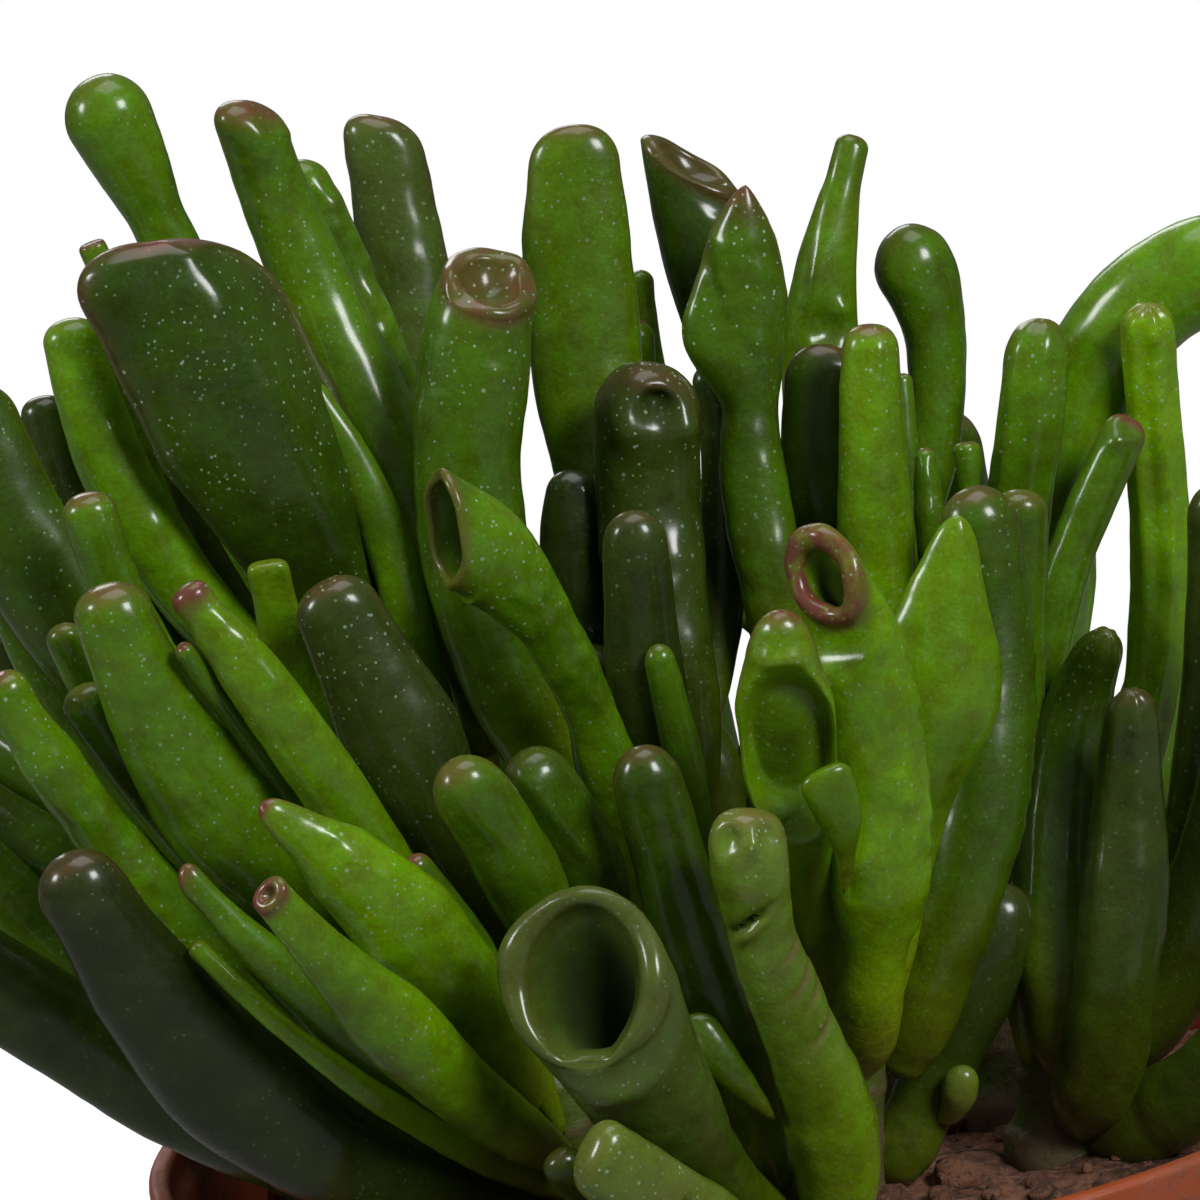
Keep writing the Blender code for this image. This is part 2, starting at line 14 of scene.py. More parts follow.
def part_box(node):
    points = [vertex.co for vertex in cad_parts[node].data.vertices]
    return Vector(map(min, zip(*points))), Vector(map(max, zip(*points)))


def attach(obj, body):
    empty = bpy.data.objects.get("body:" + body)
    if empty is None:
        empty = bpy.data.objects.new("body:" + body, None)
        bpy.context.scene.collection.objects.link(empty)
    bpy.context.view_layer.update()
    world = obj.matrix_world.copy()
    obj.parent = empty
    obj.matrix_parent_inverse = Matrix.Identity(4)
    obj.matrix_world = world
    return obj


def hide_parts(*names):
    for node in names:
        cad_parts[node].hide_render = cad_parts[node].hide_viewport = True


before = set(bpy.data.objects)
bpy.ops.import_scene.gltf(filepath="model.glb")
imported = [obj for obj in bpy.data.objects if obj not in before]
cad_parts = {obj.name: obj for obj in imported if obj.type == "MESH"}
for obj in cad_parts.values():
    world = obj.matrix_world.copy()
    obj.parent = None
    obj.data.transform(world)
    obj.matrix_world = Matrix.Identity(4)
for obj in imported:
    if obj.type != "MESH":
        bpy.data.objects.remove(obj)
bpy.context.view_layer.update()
MM = 0.001


# ---- Studio ----
# A white table seen from a little above, with a wide soft box overhead, one on each side of the
# camera and a weak one behind. The table and the room read white to the camera only.
AIM = Vector((-9.4, 0, 153.5)) * MM
CAMERA_AWAY = 0.9
CAMERA_LENS = 289
CAMERA_DOWN = math.radians(12.3)
CAMERA_ROLL = math.radians(8.8)
TABLE_RADIUS = 9.0
ROOM_LIGHT = 0.11
TABLE_SIDE_LIGHT = 0.24

# Each soft box: its centre and its two sides in metres, and its power.
SOFT_BOXES = {
    "overhead": ((0.1, -0.1, 1.3), (0.9, 0.7), 6.0),
    "front_right": ((0.6, -0.85, 0.78), (0.34, 0.34), 9.5),
    "left": ((-0.95, -0.35, 0.8), (0.26, 0.26), 5.5),
    "behind": ((-0.2, 1.1, 0.8), (0.6, 0.4), 3.8),
}

scene = bpy.context.scene
scene.view_settings.view_transform = "Standard"

looking = Vector((0, math.cos(CAMERA_DOWN), -math.sin(CAMERA_DOWN)))
camera = bpy.data.objects.new("camera", bpy.data.cameras.new("camera"))
camera.data.lens = CAMERA_LENS
camera.data.sensor_width = 36
camera.location = AIM - looking * CAMERA_AWAY
camera.rotation_mode = "QUATERNION"
camera.rotation_quaternion = looking.to_track_quat("-Z", "Y") @ Quaternion((0, 0, 1), -CAMERA_ROLL)
scene.collection.objects.link(camera)
scene.camera = camera

for box_name, (centre, sides, power) in SOFT_BOXES.items():
    lamp = bpy.data.lights.new(box_name, "AREA")
    lamp.shape = "RECTANGLE"
    lamp.size, lamp.size_y = sides
    lamp.energy = power
    soft_box = bpy.data.objects.new(box_name, lamp)
    soft_box.location = centre
    soft_box.rotation_mode = "QUATERNION"
    soft_box.rotation_quaternion = (AIM - Vector(centre)).to_track_quat("-Z", "Y")
    soft_box.visible_camera = False
    scene.collection.objects.link(soft_box)


class Nodes:
    """Adds and wires the nodes of one material or node group."""

    def __init__(self, tree):
        self.tree = tree

    def add(self, kind, settings=None, **inputs):
        node = self.tree.nodes.new("ShaderNode" + kind)
        for name, value in (settings or {}).items():
            setattr(node, name, value)
        for name, value in inputs.items():
            self.feed(node, name.replace("_", " "), value)
        return node

    def feed(self, node, socket, value):
        """Wires a node's input, or sets it when the value is plain. A number picks the input by place."""
        if isinstance(socket, str) and socket.isdigit():
            socket = int(socket)
        target = node.inputs[socket]
        if isinstance(value, bpy.types.NodeSocket):
            self.tree.links.new(value, target)
        elif isinstance(value, tuple) and target.type == "RGBA":
            target.default_value = (*value, 1)
        else:
            target.default_value = value

    def math(self, operation, first, second=0.0, clamp=False):
        node = self.tree.nodes.new("ShaderNodeMath")
        node.operation = operation
        node.use_clamp = clamp
        self.feed(node, 0, first)
        self.feed(node, 1, second)
        return node.outputs[0]

    def between(self, value, low, high, start=0.0, end=1.0):
        """A value eased from start to end as the input goes from low to high."""
        node = self.tree.nodes.new("ShaderNodeMapRange")
        node.interpolation_type = "SMOOTHSTEP"
        for place, number in enumerate((value, low, high, start, end)):
            self.feed(node, place, number)
        return node.outputs[0]

    def mix(self, share, first, second):
        node = self.tree.nodes.new("ShaderNodeMix")
        node.data_type = "RGBA"
        self.feed(node, 0, share)
        self.feed(node, 6, first)
        self.feed(node, 7, second)
        return node.outputs[2]


def new_material(name):
    """An empty material's nodes, and its surface output."""
    made = bpy.data.materials.new(name)
    made.use_nodes = True
    made.node_tree.nodes.clear()
    nodes = Nodes(made.node_tree)
    return made, nodes, nodes.add("OutputMaterial")


room = bpy.data.worlds.new("room")
room.use_nodes = True
room.node_tree.nodes.clear()
room_nodes = Nodes(room.node_tree)
seen = room_nodes.add("LightPath").outputs["Is Camera Ray"]
strength = room_nodes.between(seen, 0, 1, ROOM_LIGHT, 1)
sky = room_nodes.add("Background", Color=(1, 1, 1), Strength=strength)
room_nodes.add("OutputWorld", Surface=sky.outputs[0])
scene.world = room

table_white, table_nodes, table_out = new_material("table_white")
seen = table_nodes.add("LightPath").outputs["Is Camera Ray"]
place = table_nodes.add("TexCoord").outputs["Object"]
out_from_pot = table_nodes.add("VectorMath", {"operation": "LENGTH"}, **{"0": place}).outputs["Value"]
far = table_nodes.between(out_from_pot, 0.12, 0.6)
tone = table_nodes.mix(seen, (TABLE_SIDE_LIGHT,) * 3, table_nodes.mix(far, (0.8,) * 3, (0.0,) * 3))
matte = table_nodes.add("BsdfDiffuse", Color=tone)
glow_level = table_nodes.math("MULTIPLY", seen, table_nodes.between(far, 0, 1, 0.4, 1))
glow = table_nodes.add("Emission", Color=(1, 1, 1), Strength=glow_level)
both = table_nodes.add("AddShader")
table_nodes.feed(both, 0, matte.outputs[0])
table_nodes.feed(both, 1, glow.outputs[0])
table_nodes.feed(table_out, "Surface", both.outputs[0])

around = np.linspace(0, 2 * math.pi, 96, endpoint=False)
table_rim = [(TABLE_RADIUS * math.cos(turn), TABLE_RADIUS * math.sin(turn), 0) for turn in around]
table_mesh = bpy.data.meshes.new("table_top")
table_mesh.from_pydata(table_rim, [], [list(range(96))])
table_mesh.materials.append(table_white)
table_top = bpy.data.objects.new("table_top", table_mesh)
scene.collection.objects.link(table_top)


# ---- Pot ----
# A 12 cm nursery pot, moulded in one piece from terracotta polypropylene with an even wall, a wide
# collar, a rounded lip and six drain holes in its base. Its satin skin holds scuffs and peat dust.
POT_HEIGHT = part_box("pot")[1].z / MM
POT_RIM_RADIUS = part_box("pot")[1].x / MM
POT_BASE_RADIUS = 42.5
POT_WALL = 1.3
COLLAR_HEIGHT = 19.0
COLLAR_STEP = 2.0
COLLAR_DRAFT = 1.5
LIP_THICKNESS = 2.1
POT_SIDES = 168
CORNER_STEPS = 5
DRAIN_HOLES = 6
DRAIN_RADIUS = 3.5
DRAIN_CIRCLE_RADIUS = 29.0
TERRACOTTA = (0.28, 0.05, 0.012)
TERRACOTTA_WORN = (0.34, 0.09, 0.03)
PEAT_DUST = (0.075, 0.045, 0.028)


def rounded(corners):
    """The outline through (radius, height, rounding) corners, with an arc at each rounded one."""
    outline = []
    for index, (r, z, rounding) in enumerate(corners):
        corner = np.array([r, z], float)
        if rounding == 0:
            outline.append(corner)
            continue
        before = np.array(corners[index - 1][:2], float) - corner
        after = np.array(corners[index + 1][:2], float) - corner
        before *= rounding / np.linalg.norm(before)
        after *= rounding / np.linalg.norm(after)
        for step in np.linspace(0, 1, CORNER_STEPS):
            outline.append(corner + before * (1 - step) ** 2 + after * step**2)
    return np.array(outline)


def turned(outline, sides):
    """Rings of points about Z from an outline of (radius, height)."""
    turn = np.linspace(0, 2 * math.pi, sides, endpoint=False)
    rings = np.empty((len(outline), sides, 3))
    rings[..., 0] = outline[:, :1] * np.cos(turn)
    rings[..., 1] = outline[:, :1] * np.sin(turn)
    rings[..., 2] = outline[:, 1:]
    return rings


def skin(name, rings, first, last, marks=None):
    """A closed smooth mesh over rings of points with a point at each end. Marks are painted on it."""
    count, sides = rings.shape[:2]
    points = np.concatenate([rings.reshape(-1, 3), [first, last]]) * MM
    turn = np.arange(sides)
    after = (turn + 1) % sides
    starts = sides * np.arange(count - 1)[:, None]
    quads = np.stack([starts + turn, starts + after, starts + sides + after, starts + sides + turn], -1)
    top = sides * (count - 1)
    first_fan = np.stack([after, turn, np.full(sides, count * sides)], -1)
    last_fan = np.stack([top + turn, top + after, np.full(sides, count * sides + 1)], -1)
    mesh = bpy.data.meshes.new(name)
    faces = quads.reshape(-1, 4).tolist() + first_fan.tolist() + last_fan.tolist()
    mesh.from_pydata(points.tolist(), [], faces)
    for mark, values in (marks or {}).items():
        painted = np.broadcast_to(np.asarray(values, float).reshape(count, -1), (count, sides))
        ends = [painted[0].mean(), painted[-1].mean()]
        layer = mesh.attributes.new(mark, "FLOAT", "POINT")
        layer.data.foreach_set("value", np.concatenate([painted.ravel(), ends]).astype(np.float32))
    mesh.shade_smooth()
    made = bpy.data.objects.new(name, mesh)
    scene.collection.objects.link(made)
    return made


def settle(piece, material, slot, *nodes):
    """Gives a piece its material and the body it rides on, and hides the plain solids it stands for."""
    piece.data.materials.append(material)
    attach(piece, "root")
    if nodes:
        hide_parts(*nodes)


def wall_radius(z):
    """The outer radius of the pot's tapered body at a height, below its collar."""
    body_top = POT_RIM_RADIUS - COLLAR_DRAFT - COLLAR_STEP
    return POT_BASE_RADIUS + (body_top - POT_BASE_RADIUS) * z / (POT_HEIGHT - COLLAR_HEIGHT)


def cut_drain_holes(pot):
    """Cuts a ring of round holes through the base and leaves the result as the pot's own mesh."""
    cutters = []
    for index in range(DRAIN_HOLES):
        turn = 2 * math.pi * (index + 0.5) / DRAIN_HOLES
        x, y = DRAIN_CIRCLE_RADIUS * math.cos(turn), DRAIN_CIRCLE_RADIUS * math.sin(turn)
        hole = np.array([(DRAIN_RADIUS, -4), (DRAIN_RADIUS, 4)])
        rings = turned(hole, 32) + (x, y, 0)
        cutter = skin(f"drain_cutter_{index}", rings, (x, y, -4), (x, y, 4))
        cut = pot.modifiers.new(cutter.name, "BOOLEAN")
        cut.operation = "DIFFERENCE"
        cut.object = cutter
        cutters.append(cutter)
    evaluated = pot.evaluated_get(bpy.context.evaluated_depsgraph_get())
    pierced = bpy.data.meshes.new_from_object(evaluated)
    pot.modifiers.clear()
    pot.data = pierced
    for cutter in cutters:
        bpy.data.objects.remove(cutter)


def pot_plastic():
    made, nodes, out = new_material("terracotta_plastic")
    place = nodes.add("TexCoord").outputs["Object"]
    cloud = nodes.add("TexNoise", Vector=place, Scale=45, Detail=5, Roughness=0.6).outputs["Fac"]
    grain = nodes.add("TexNoise", Vector=place, Scale=1400, Detail=3).outputs["Fac"]
    stretch = nodes.add("Mapping", Vector=place, Scale=(1, 1, 9))
    lines = nodes.add("TexNoise", Vector=stretch.outputs[0], Scale=260, Detail=4).outputs["Fac"]
    scuffs = nodes.add("TexNoise", Vector=place, Scale=310, Detail=8, Roughness=0.75).outputs["Fac"]
    scuffed = nodes.between(scuffs, 0.6, 0.7)
    height = nodes.add("SeparateXYZ", Vector=place).outputs["Z"]
    near_lip = nodes.between(height, (POT_HEIGHT - 16) * MM, POT_HEIGHT * MM, 0.0, 1.0)
    dust = nodes.math("MULTIPLY", nodes.between(scuffs, 0.47, 0.62), near_lip)
    dust = nodes.math("MULTIPLY", dust, nodes.between(cloud, 0.35, 0.6))
    colour = nodes.mix(nodes.between(cloud, 0.3, 0.7, 0.0, 0.45), TERRACOTTA, TERRACOTTA_WORN)
    colour = nodes.mix(nodes.math("MULTIPLY", scuffed, 0.35), colour, TERRACOTTA_WORN)
    colour = nodes.mix(nodes.math("MULTIPLY", dust, 0.75), colour, PEAT_DUST)
    rough = nodes.between(cloud, 0.3, 0.7, 0.36, 0.5)
    rough = nodes.math("ADD", rough, nodes.math("MULTIPLY", nodes.math("ADD", scuffed, dust), 0.2))
    relief = nodes.math("ADD", nodes.math("MULTIPLY", grain, 0.35), nodes.math("MULTIPLY", lines, 0.4))
    relief = nodes.math("ADD", relief, nodes.math("MULTIPLY", dust, 1.2))
    bump = nodes.add("Bump", Height=relief, Strength=0.5, Distance=0.00018)
    shader = nodes.add("BsdfPrincipled", Base_Color=colour, Roughness=rough, Normal=bump.outputs[0])
    nodes.feed(out, "Surface", shader.outputs[0])
    return made


collar_z = POT_HEIGHT - COLLAR_HEIGHT
inner_lip = POT_RIM_RADIUS - LIP_THICKNESS
pot_outline = rounded(
    (
        (0.5, 0, 0),
        (POT_BASE_RADIUS - 0.4, 0, 1.4),
        (wall_radius(collar_z * 0.5), collar_z * 0.5, 0),
        (wall_radius(collar_z), collar_z, 0.5),
        (POT_RIM_RADIUS - COLLAR_DRAFT, collar_z + 1, 0.8),
        (POT_RIM_RADIUS, POT_HEIGHT - 4, 0.6),
        (POT_RIM_RADIUS, POT_HEIGHT, 0.8),
        (inner_lip, POT_HEIGHT, 0.7),
        (inner_lip, POT_HEIGHT - 2.5, 0.8),
        (POT_RIM_RADIUS - COLLAR_DRAFT - POT_WALL - 0.3, POT_HEIGHT - 4, 0.8),
        (POT_RIM_RADIUS - COLLAR_DRAFT - POT_WALL - 0.9, collar_z + 2, 0.8),
        (wall_radius(collar_z) - POT_WALL, collar_z, 0.6),
        (wall_radius(2) - POT_WALL, POT_WALL, 1.5),
        (0.5, POT_WALL, 0),
    )
)
pot = skin("nursery_pot", turned(pot_outline, POT_SIDES), (0, 0, 0), (0, 0, POT_WALL))
cut_drain_holes(pot)
settle(pot, pot_plastic(), "pot_plastic", "pot")


# ---- Peat ----
# Moist dark peat, poured to a centimetre below the lip. It is a plug with a lumpy top, and loose on
# it lie torn crumbs, a little white perlite and fine root fibres.
SOIL_TOP = 95.0
SOIL_EDGE_DROP = 2.0
SOIL_SIDES = 220
CRUMBS = 620
PERLITE_GRAINS = 46
FIBRES = 90
PEAT_DARK = (0.1, 0.04, 0.022)
PEAT_LIGHT = (0.5, 0.22, 0.12)
PERLITE_WHITE = (0.62, 0.57, 0.5)
FIBRE_TAN = (0.2, 0.12, 0.07)


def uneven(points, wave, shift=0.0):
    """Smooth noise from -1 to 1 at each point, whose lumps are about a wave across."""
    scaled = (np.asarray(points, float).reshape(-1, 3) + shift) / wave
    values = np.array([noise.noise(Vector(point)) for point in scaled])
    return values.reshape(np.shape(points)[:-1])


def soil_height(points):
    """The height of the peat's top below each point."""
    flat = np.array(points, float)
    flat[..., 2] = 0
    out = np.linalg.norm(flat, axis=-1)
    lumps = 1.1 * uneven(flat, 13) + 0.8 * uneven(flat, 5) + 0.45 * uneven(flat, 2) + 0.2 * uneven(flat, 0.9)
    return SOIL_TOP - SOIL_EDGE_DROP * (out / 54) ** 4 + lumps


def peat(name, dark, light, grain_scale):
    made, nodes, out = new_material(name)
    place = nodes.add("TexCoord").outputs["Object"]
    cloud = nodes.add("TexNoise", Vector=place, Scale=120, Detail=6, Roughness=0.7).outputs["Fac"]
    grain = nodes.add("TexNoise", Vector=place, Scale=grain_scale, Detail=8, Roughness=0.75).outputs["Fac"]
    colour = nodes.mix(nodes.between(cloud, 0.35, 0.65), dark, light)
    colour = nodes.mix(nodes.between(grain, 0.52, 0.6, 0.0, 0.85), colour, light)
    colour = nodes.mix(nodes.between(grain, 0.38, 0.47, 0.9, 0.0), colour, dark)
    rough = nodes.between(cloud, 0.3, 0.7, 0.72, 0.95)
    bump = nodes.add("Bump", Height=grain, Strength=1.0, Distance=0.0016)
    shader = nodes.add("BsdfPrincipled", Base_Color=colour, Roughness=rough, Normal=bump.outputs[0])
    nodes.feed(out, "Surface", shader.outputs[0])
    return made


def joined(name, pieces):
    """One mesh object from lists of (points, faces)."""
    points, faces, start = [], [], 0
    for piece_points, piece_faces in pieces:
        points.append(piece_points)
        faces.extend([[start + corner for corner in face] for face in piece_faces])
        start += len(piece_points)
    mesh = bpy.data.meshes.new(name)
    mesh.from_pydata((np.concatenate(points) * MM).tolist(), [], faces)
    mesh.shade_smooth()
    made = bpy.data.objects.new(name, mesh)
    scene.collection.objects.link(made)
    return made


def ball():
    """The points and faces of a small ball of triangles, to be broken into crumbs."""
    bpy.ops.mesh.primitive_ico_sphere_add(subdivisions=2, radius=1)
    source = bpy.context.object
    points = np.array([vertex.co for vertex in source.data.vertices])
    faces = [list(face.vertices) for face in source.data.polygons]
    bpy.data.objects.remove(source)
    return points, faces


def scattered(count, smallest, largest, flatness, draw):
    """Lumps lying on the peat, each a ball torn out of shape."""
    points, faces = ball()
    lumps = []
    for index in range(count):
        size = smallest + (largest - smallest) * draw.random() ** 2.5
        out, turn = 55.5 * math.sqrt(draw.random()), draw.uniform(0, 2 * math.pi)
        at = np.array([out * math.cos(turn), out * math.sin(turn), 0])
        torn = points * (1 + 0.45 * uneven(points * 1.0 + index * 7.3, 0.8))[:, None]
        torn *= (draw.uniform(0.7, 1.3), draw.uniform(0.7, 1.3), flatness * draw.uniform(0.7, 1.3))
        spin = Quaternion((draw.uniform(-0.3, 0.3), draw.uniform(-0.3, 0.3), 1), draw.uniform(0, 6.3))
        torn = torn @ np.array(spin.to_matrix()).T
        at[2] = soil_height(at[None])[0] + 0.2 * size
        lumps.append((at + torn * 0.5 * size, faces))
    return lumps


def fibres(count, draw):
    """Thin bent root fibres lying on the peat."""
    strands = []
    for index in range(count):
        out, turn = 54 * math.sqrt(draw.random()), draw.uniform(0, 2 * math.pi)
        at = np.array([out * math.cos(turn), out * math.sin(turn), 0])
        heading, length = draw.uniform(0, 6.3), draw.uniform(5, 16)
        turns = np.linspace(0, draw.uniform(-2.2, 2.2), 9) + heading
        steps = np.stack([np.cos(turns), np.sin(turns), np.zeros(9)], -1) * length / 9
        line = at + np.cumsum(steps, axis=0)
        line = line[np.linalg.norm(line[:, :2], axis=1) < 56]
        if len(line) < 4:
            continue
        line[:, 2] = soil_height(line) + 0.25 + 0.5 * np.sin(np.linspace(0, 3, len(line))) * draw.random()
        thick = draw.uniform(0.12, 0.22) * np.interp(np.arange(len(line)), (0, 1, len(line) - 1), (0.4, 1, 0.3))
        ways = np.gradient(line, axis=0)
        across = np.cross(ways, (0, 0, 1))
        across /= np.linalg.norm(across, axis=1, keepdims=True)
        up = np.cross(across, ways / np.linalg.norm(ways, axis=1, keepdims=True))
        spokes = np.linspace(0, 2 * math.pi, 6, endpoint=False)[None, :, None]
        rings = line[:, None] + thick[:, None, None] * (
            np.cos(spokes) * across[:, None] + np.sin(spokes) * up[:, None]
        )
        points = rings.reshape(-1, 3)
        faces = []
        for ring in range(len(line) - 1):
            for spoke in range(6):
                low, low_next = ring * 6 + spoke, ring * 6 + (spoke + 1) % 6
                faces.append([low_next, low, low + 6, low_next + 6])
        last = 6 * (len(line) - 1)
        faces += [[0, 1, 2, 3, 4, 5], [last + spoke for spoke in (5, 4, 3, 2, 1, 0)]]
        strands.append((points, faces))
    return strands


plug_inside = POT_WALL + 0.3
plug_outline = [
    (0.6, plug_inside),
    (wall_radius(2) - plug_inside - 0.6, plug_inside + 0.6),
    (wall_radius(collar_z) - plug_inside, collar_z - 0.5),
    (POT_RIM_RADIUS - COLLAR_DRAFT - plug_inside - 0.9, collar_z + 2),
]
side_points = len(plug_outline)
plug_outline += [(radius, SOIL_TOP) for radius in np.linspace(plug_outline[-1][0], 0.6, 84)]
plug_rings = turned(np.array(plug_outline), SOIL_SIDES)
plug_rings[side_points:, :, 2] = soil_height(plug_rings[side_points:])
peat_plug = skin("peat", plug_rings, (0, 0, plug_inside), (0, 0, SOIL_TOP + 0.5))
settle(peat_plug, peat("moist_peat", PEAT_DARK, PEAT_LIGHT, 900), "peat", "soil")

draw = random.Random(4)
crumbs = joined("peat_crumbs", scattered(CRUMBS, 0.8, 4.4, 0.75, draw))
settle(crumbs, peat("torn_peat", PEAT_DARK, PEAT_LIGHT, 1600), "peat")
grains = joined("perlite_grains", scattered(PERLITE_GRAINS, 0.7, 2.2, 0.85, draw))
settle(grains, peat("perlite", (0.4, 0.33, 0.26), PERLITE_WHITE, 2200), "peat")
strands = joined("root_fibres", fibres(FIBRES, draw))
settle(strands, peat("root_skin", (0.09, 0.05, 0.03), FIBRE_TAN, 1500), "peat")


# ---- Stems ----
# Nine short fleshy stems stand in the peat. They are green where young and tan with thin bark low
# down, with a raised ring where each pair of old leaves fell.
STEM_SIDES = 30
STEM_RINGS = 56
STEM_SUNK = 4.0
SCAR_SPACING = 5.5
STEM_GREEN = (0.075, 0.12, 0.012)
STEM_BARK = (0.12, 0.083, 0.04)
STEM_DARK = (0.03, 0.035, 0.01)

# Each stem: its line from the soil to its tip, and its radius.
STEMS = {
    "stem_left_back": (((-10, 4, 95), (-20, 4, 118), (-28, 4, 146)), 3.6),
    "stem_left": (((-7, -8, 95), (-16, -13, 112), (-22, -15, 128)), 3.4),
    "stem_front_left": (((-12, -19, 95), (-18, -22, 106), (-21, -24, 115)), 3.4),
    "stem_centre": (((-2, 0, 95), (-6, -2, 118), (-9, 0, 134)), 4.2),
    "stem_centre_back": (((8, 9, 95), (10, 8, 120), (9, 9, 146)), 3.8),
    "stem_centre_right": (((4, -10, 95), (7, -12, 108), (10, -13, 122)), 3.4),
    "stem_right_back": (((21, 13, 95), (24, 13, 112), (27, 12, 126)), 3.4),
    "stem_right": (((26, -2, 95), (27, -1, 107)), 4.0),
    "stem_front": (((2, -25, 95), (2, -25, 104)), 3.8),
}

# The three shoots at the back, in the same way.
BACK_STEMS = {
    "shoot_back_left": (((-20, 22, 95), (-26, 26, 114), (-32, 29, 134)), 3.4),
    "shoot_back_centre": (((-1, 27, 95), (-3, 31, 115), (-6, 32, 134)), 3.4),
    "shoot_back_right": (((24, 24, 95), (27, 27, 112), (27, 30, 128)), 3.4),
}


def line_at(points, shares):
    """Points along the one smooth curve through a few points, at shares of its length from 0 to 1."""
    points = np.array(points, float)
    steps = np.linalg.norm(np.diff(points, axis=0), axis=1)
    knots = np.concatenate([[0], np.cumsum(steps)]) / steps.sum()
    fits = [np.polyfit(knots, points[:, axis], len(points) - 1) for axis in range(3)]
    return np.stack([np.polyval(fit, shares) for fit in fits], axis=-1)


def unit(vectors):
    return vectors / np.linalg.norm(vectors, axis=-1, keepdims=True)


def side_and_face(line):
    """At each point of a line, the way across the leaf and the way its flat face looks, mostly -Y."""
    along = unit(np.gradient(line, axis=0))
    face = np.array([0, -1, 0.3]) - along * (along @ np.array([0, -1, 0.3]))[:, None]
    face = unit(face)
    return np.cross(face, along), face, along


def stem_radius(radius, share):
    return radius * np.interp(share, (0, 0.3, 1), (1.15, 1, 0.9))


def ovals(centres, across, up, half_widths, half_heights, sides, bulk=2.0):
    """Rings of points round a line of centres. A bulk over 2 makes them squarer."""
    turn = np.linspace(0, 2 * math.pi, sides, endpoint=False)
    reach = 2 / np.broadcast_to(bulk, len(centres))[:, None]
    x = np.sign(np.cos(turn)) * np.abs(np.cos(turn)) ** reach * np.reshape(half_widths, (-1, 1))
    y = np.sign(np.sin(turn)) * np.abs(np.sin(turn)) ** reach * np.reshape(half_heights, (-1, 1))
    return centres[:, None] + x[..., None] * across[:, None] + y[..., None] * up[:, None]


def stem_skin():
    made, nodes, out = new_material("stem_skin")
    place = nodes.add("TexCoord").outputs["Object"]
    young = nodes.add("Attribute", {"attribute_name": "young"}).outputs["Fac"]
    scar = nodes.add("Attribute", {"attribute_name": "scar"}).outputs["Fac"]
    cloud = nodes.add("TexNoise", Vector=place, Scale=230, Detail=6, Roughness=0.65).outputs["Fac"]
    fine = nodes.add("TexNoise", Vector=place, Scale=1300, Detail=5, Roughness=0.7).outputs["Fac"]
    bark = nodes.between(nodes.math("ADD", cloud, nodes.math("MULTIPLY", young, -0.35)), 0.3, 0.5)
    colour = nodes.mix(bark, STEM_GREEN, STEM_BARK)
    colour = nodes.mix(nodes.between(fine, 0.5, 0.68, 0.0, 0.6), colour, STEM_DARK)
    colour = nodes.mix(nodes.math("MULTIPLY", scar, 0.7), colour, STEM_BARK)
    rough = nodes.between(bark, 0, 1, 0.42, 0.8)
    relief = nodes.math("ADD", nodes.math("MULTIPLY", fine, 0.5), nodes.math("MULTIPLY", cloud, bark))
    bump = nodes.add("Bump", Height=relief, Strength=0.7, Distance=0.0004)
    shader = nodes.add("BsdfPrincipled", Base_Color=colour, Roughness=rough, Normal=bump.outputs[0])
    nodes.feed(out, "Surface", shader.outputs[0])
    return made


def grown_stem(name, stem, radius):
    shares = np.linspace(0, 1, STEM_RINGS)
    line = line_at(stem, shares)
    sunk = np.array(line[:1] - (0, 0, STEM_SUNK))
    line = np.concatenate([sunk, line])
    side, face, along = side_and_face(line)
    shares = np.concatenate([[0], shares])
    grown = np.concatenate([[0], np.cumsum(np.linalg.norm(np.diff(line, axis=0), axis=1))])
    scar = np.abs(np.cos(math.pi * grown / SCAR_SPACING)) ** 14
    thick = stem_radius(radius, shares) * (1 + 0.05 * scar + 0.25 * np.exp(-((grown - STEM_SUNK) / 3) ** 2))
    rings = ovals(line, side, face, thick, thick, STEM_SIDES)
    ways = unit(rings - line[:, None])
    rings = rings + ways * (0.3 * uneven(rings, 6) + 0.12 * uneven(rings, 1.8))[..., None]
    tip = line[-1] + along[-1] * 0.6 * radius
    cap = ovals(line[-1:] + along[-1] * 0.4 * radius, side[-1:], face[-1:], 0.7 * thick[-1:], 0.7 * thick[-1:], STEM_SIDES)
    marks = {"young": np.append(shares, 1), "scar": np.append(scar, 0)}
    return skin(name, np.concatenate([rings, cap]), line[0], tip, marks)


stem_material = stem_skin()
for name, (stem, radius) in STEMS.items():
    settle(grown_stem(name.replace("stem", "grown_stem"), stem, radius), stem_material, "stem_skin", name)
for name, (stem, radius) in BACK_STEMS.items():
    settle(grown_stem(f"{name}_stem", stem, radius), stem_material, "stem_skin", name)


# ---- Leaves ----
# Thick water-filled leaves, each rolled into a finger, a cup or a trumpet by this form of the plant.
# A leaf is narrow and pale where it joins its stem, waxy and dotted with pores on its skin, and red
# at its lip or tip. Crowded leaves press one another aside, mostly to the front or the back.
FRONT_MESH = (52, 100)
SMALL_MESH = (32, 48)
LEAF_BASE_RADIUS = 1.1
LEAF_SEAT_GAP = 0.2
LEAF_KNOTS = (0.25, 0.6, 0.92)
DOME_LENGTH = 0.45
MOUTH_SETBACK = 0.8
MOUTH_STEEPEST = 0.55
CROWD_GAP = 0.5
CROWD_STEPS = 300
CROWD_PLACES = 9
CROWD_EASE = (0.15, 1.0, 0.15)
CROWD_SHARE = 0.2
CROWD_MOST = 1.2
CROWD_SEARCH = 4.0
CROWD_SEARCH_EVERY = 10
STEM_BALLS = 12
RIM_BALLS = 96
RIM_BALL_RADIUS = 3.0
STEM, RIM, NO_SHOOT = -1, -2, -1
BUD_HEIGHT = 17.0

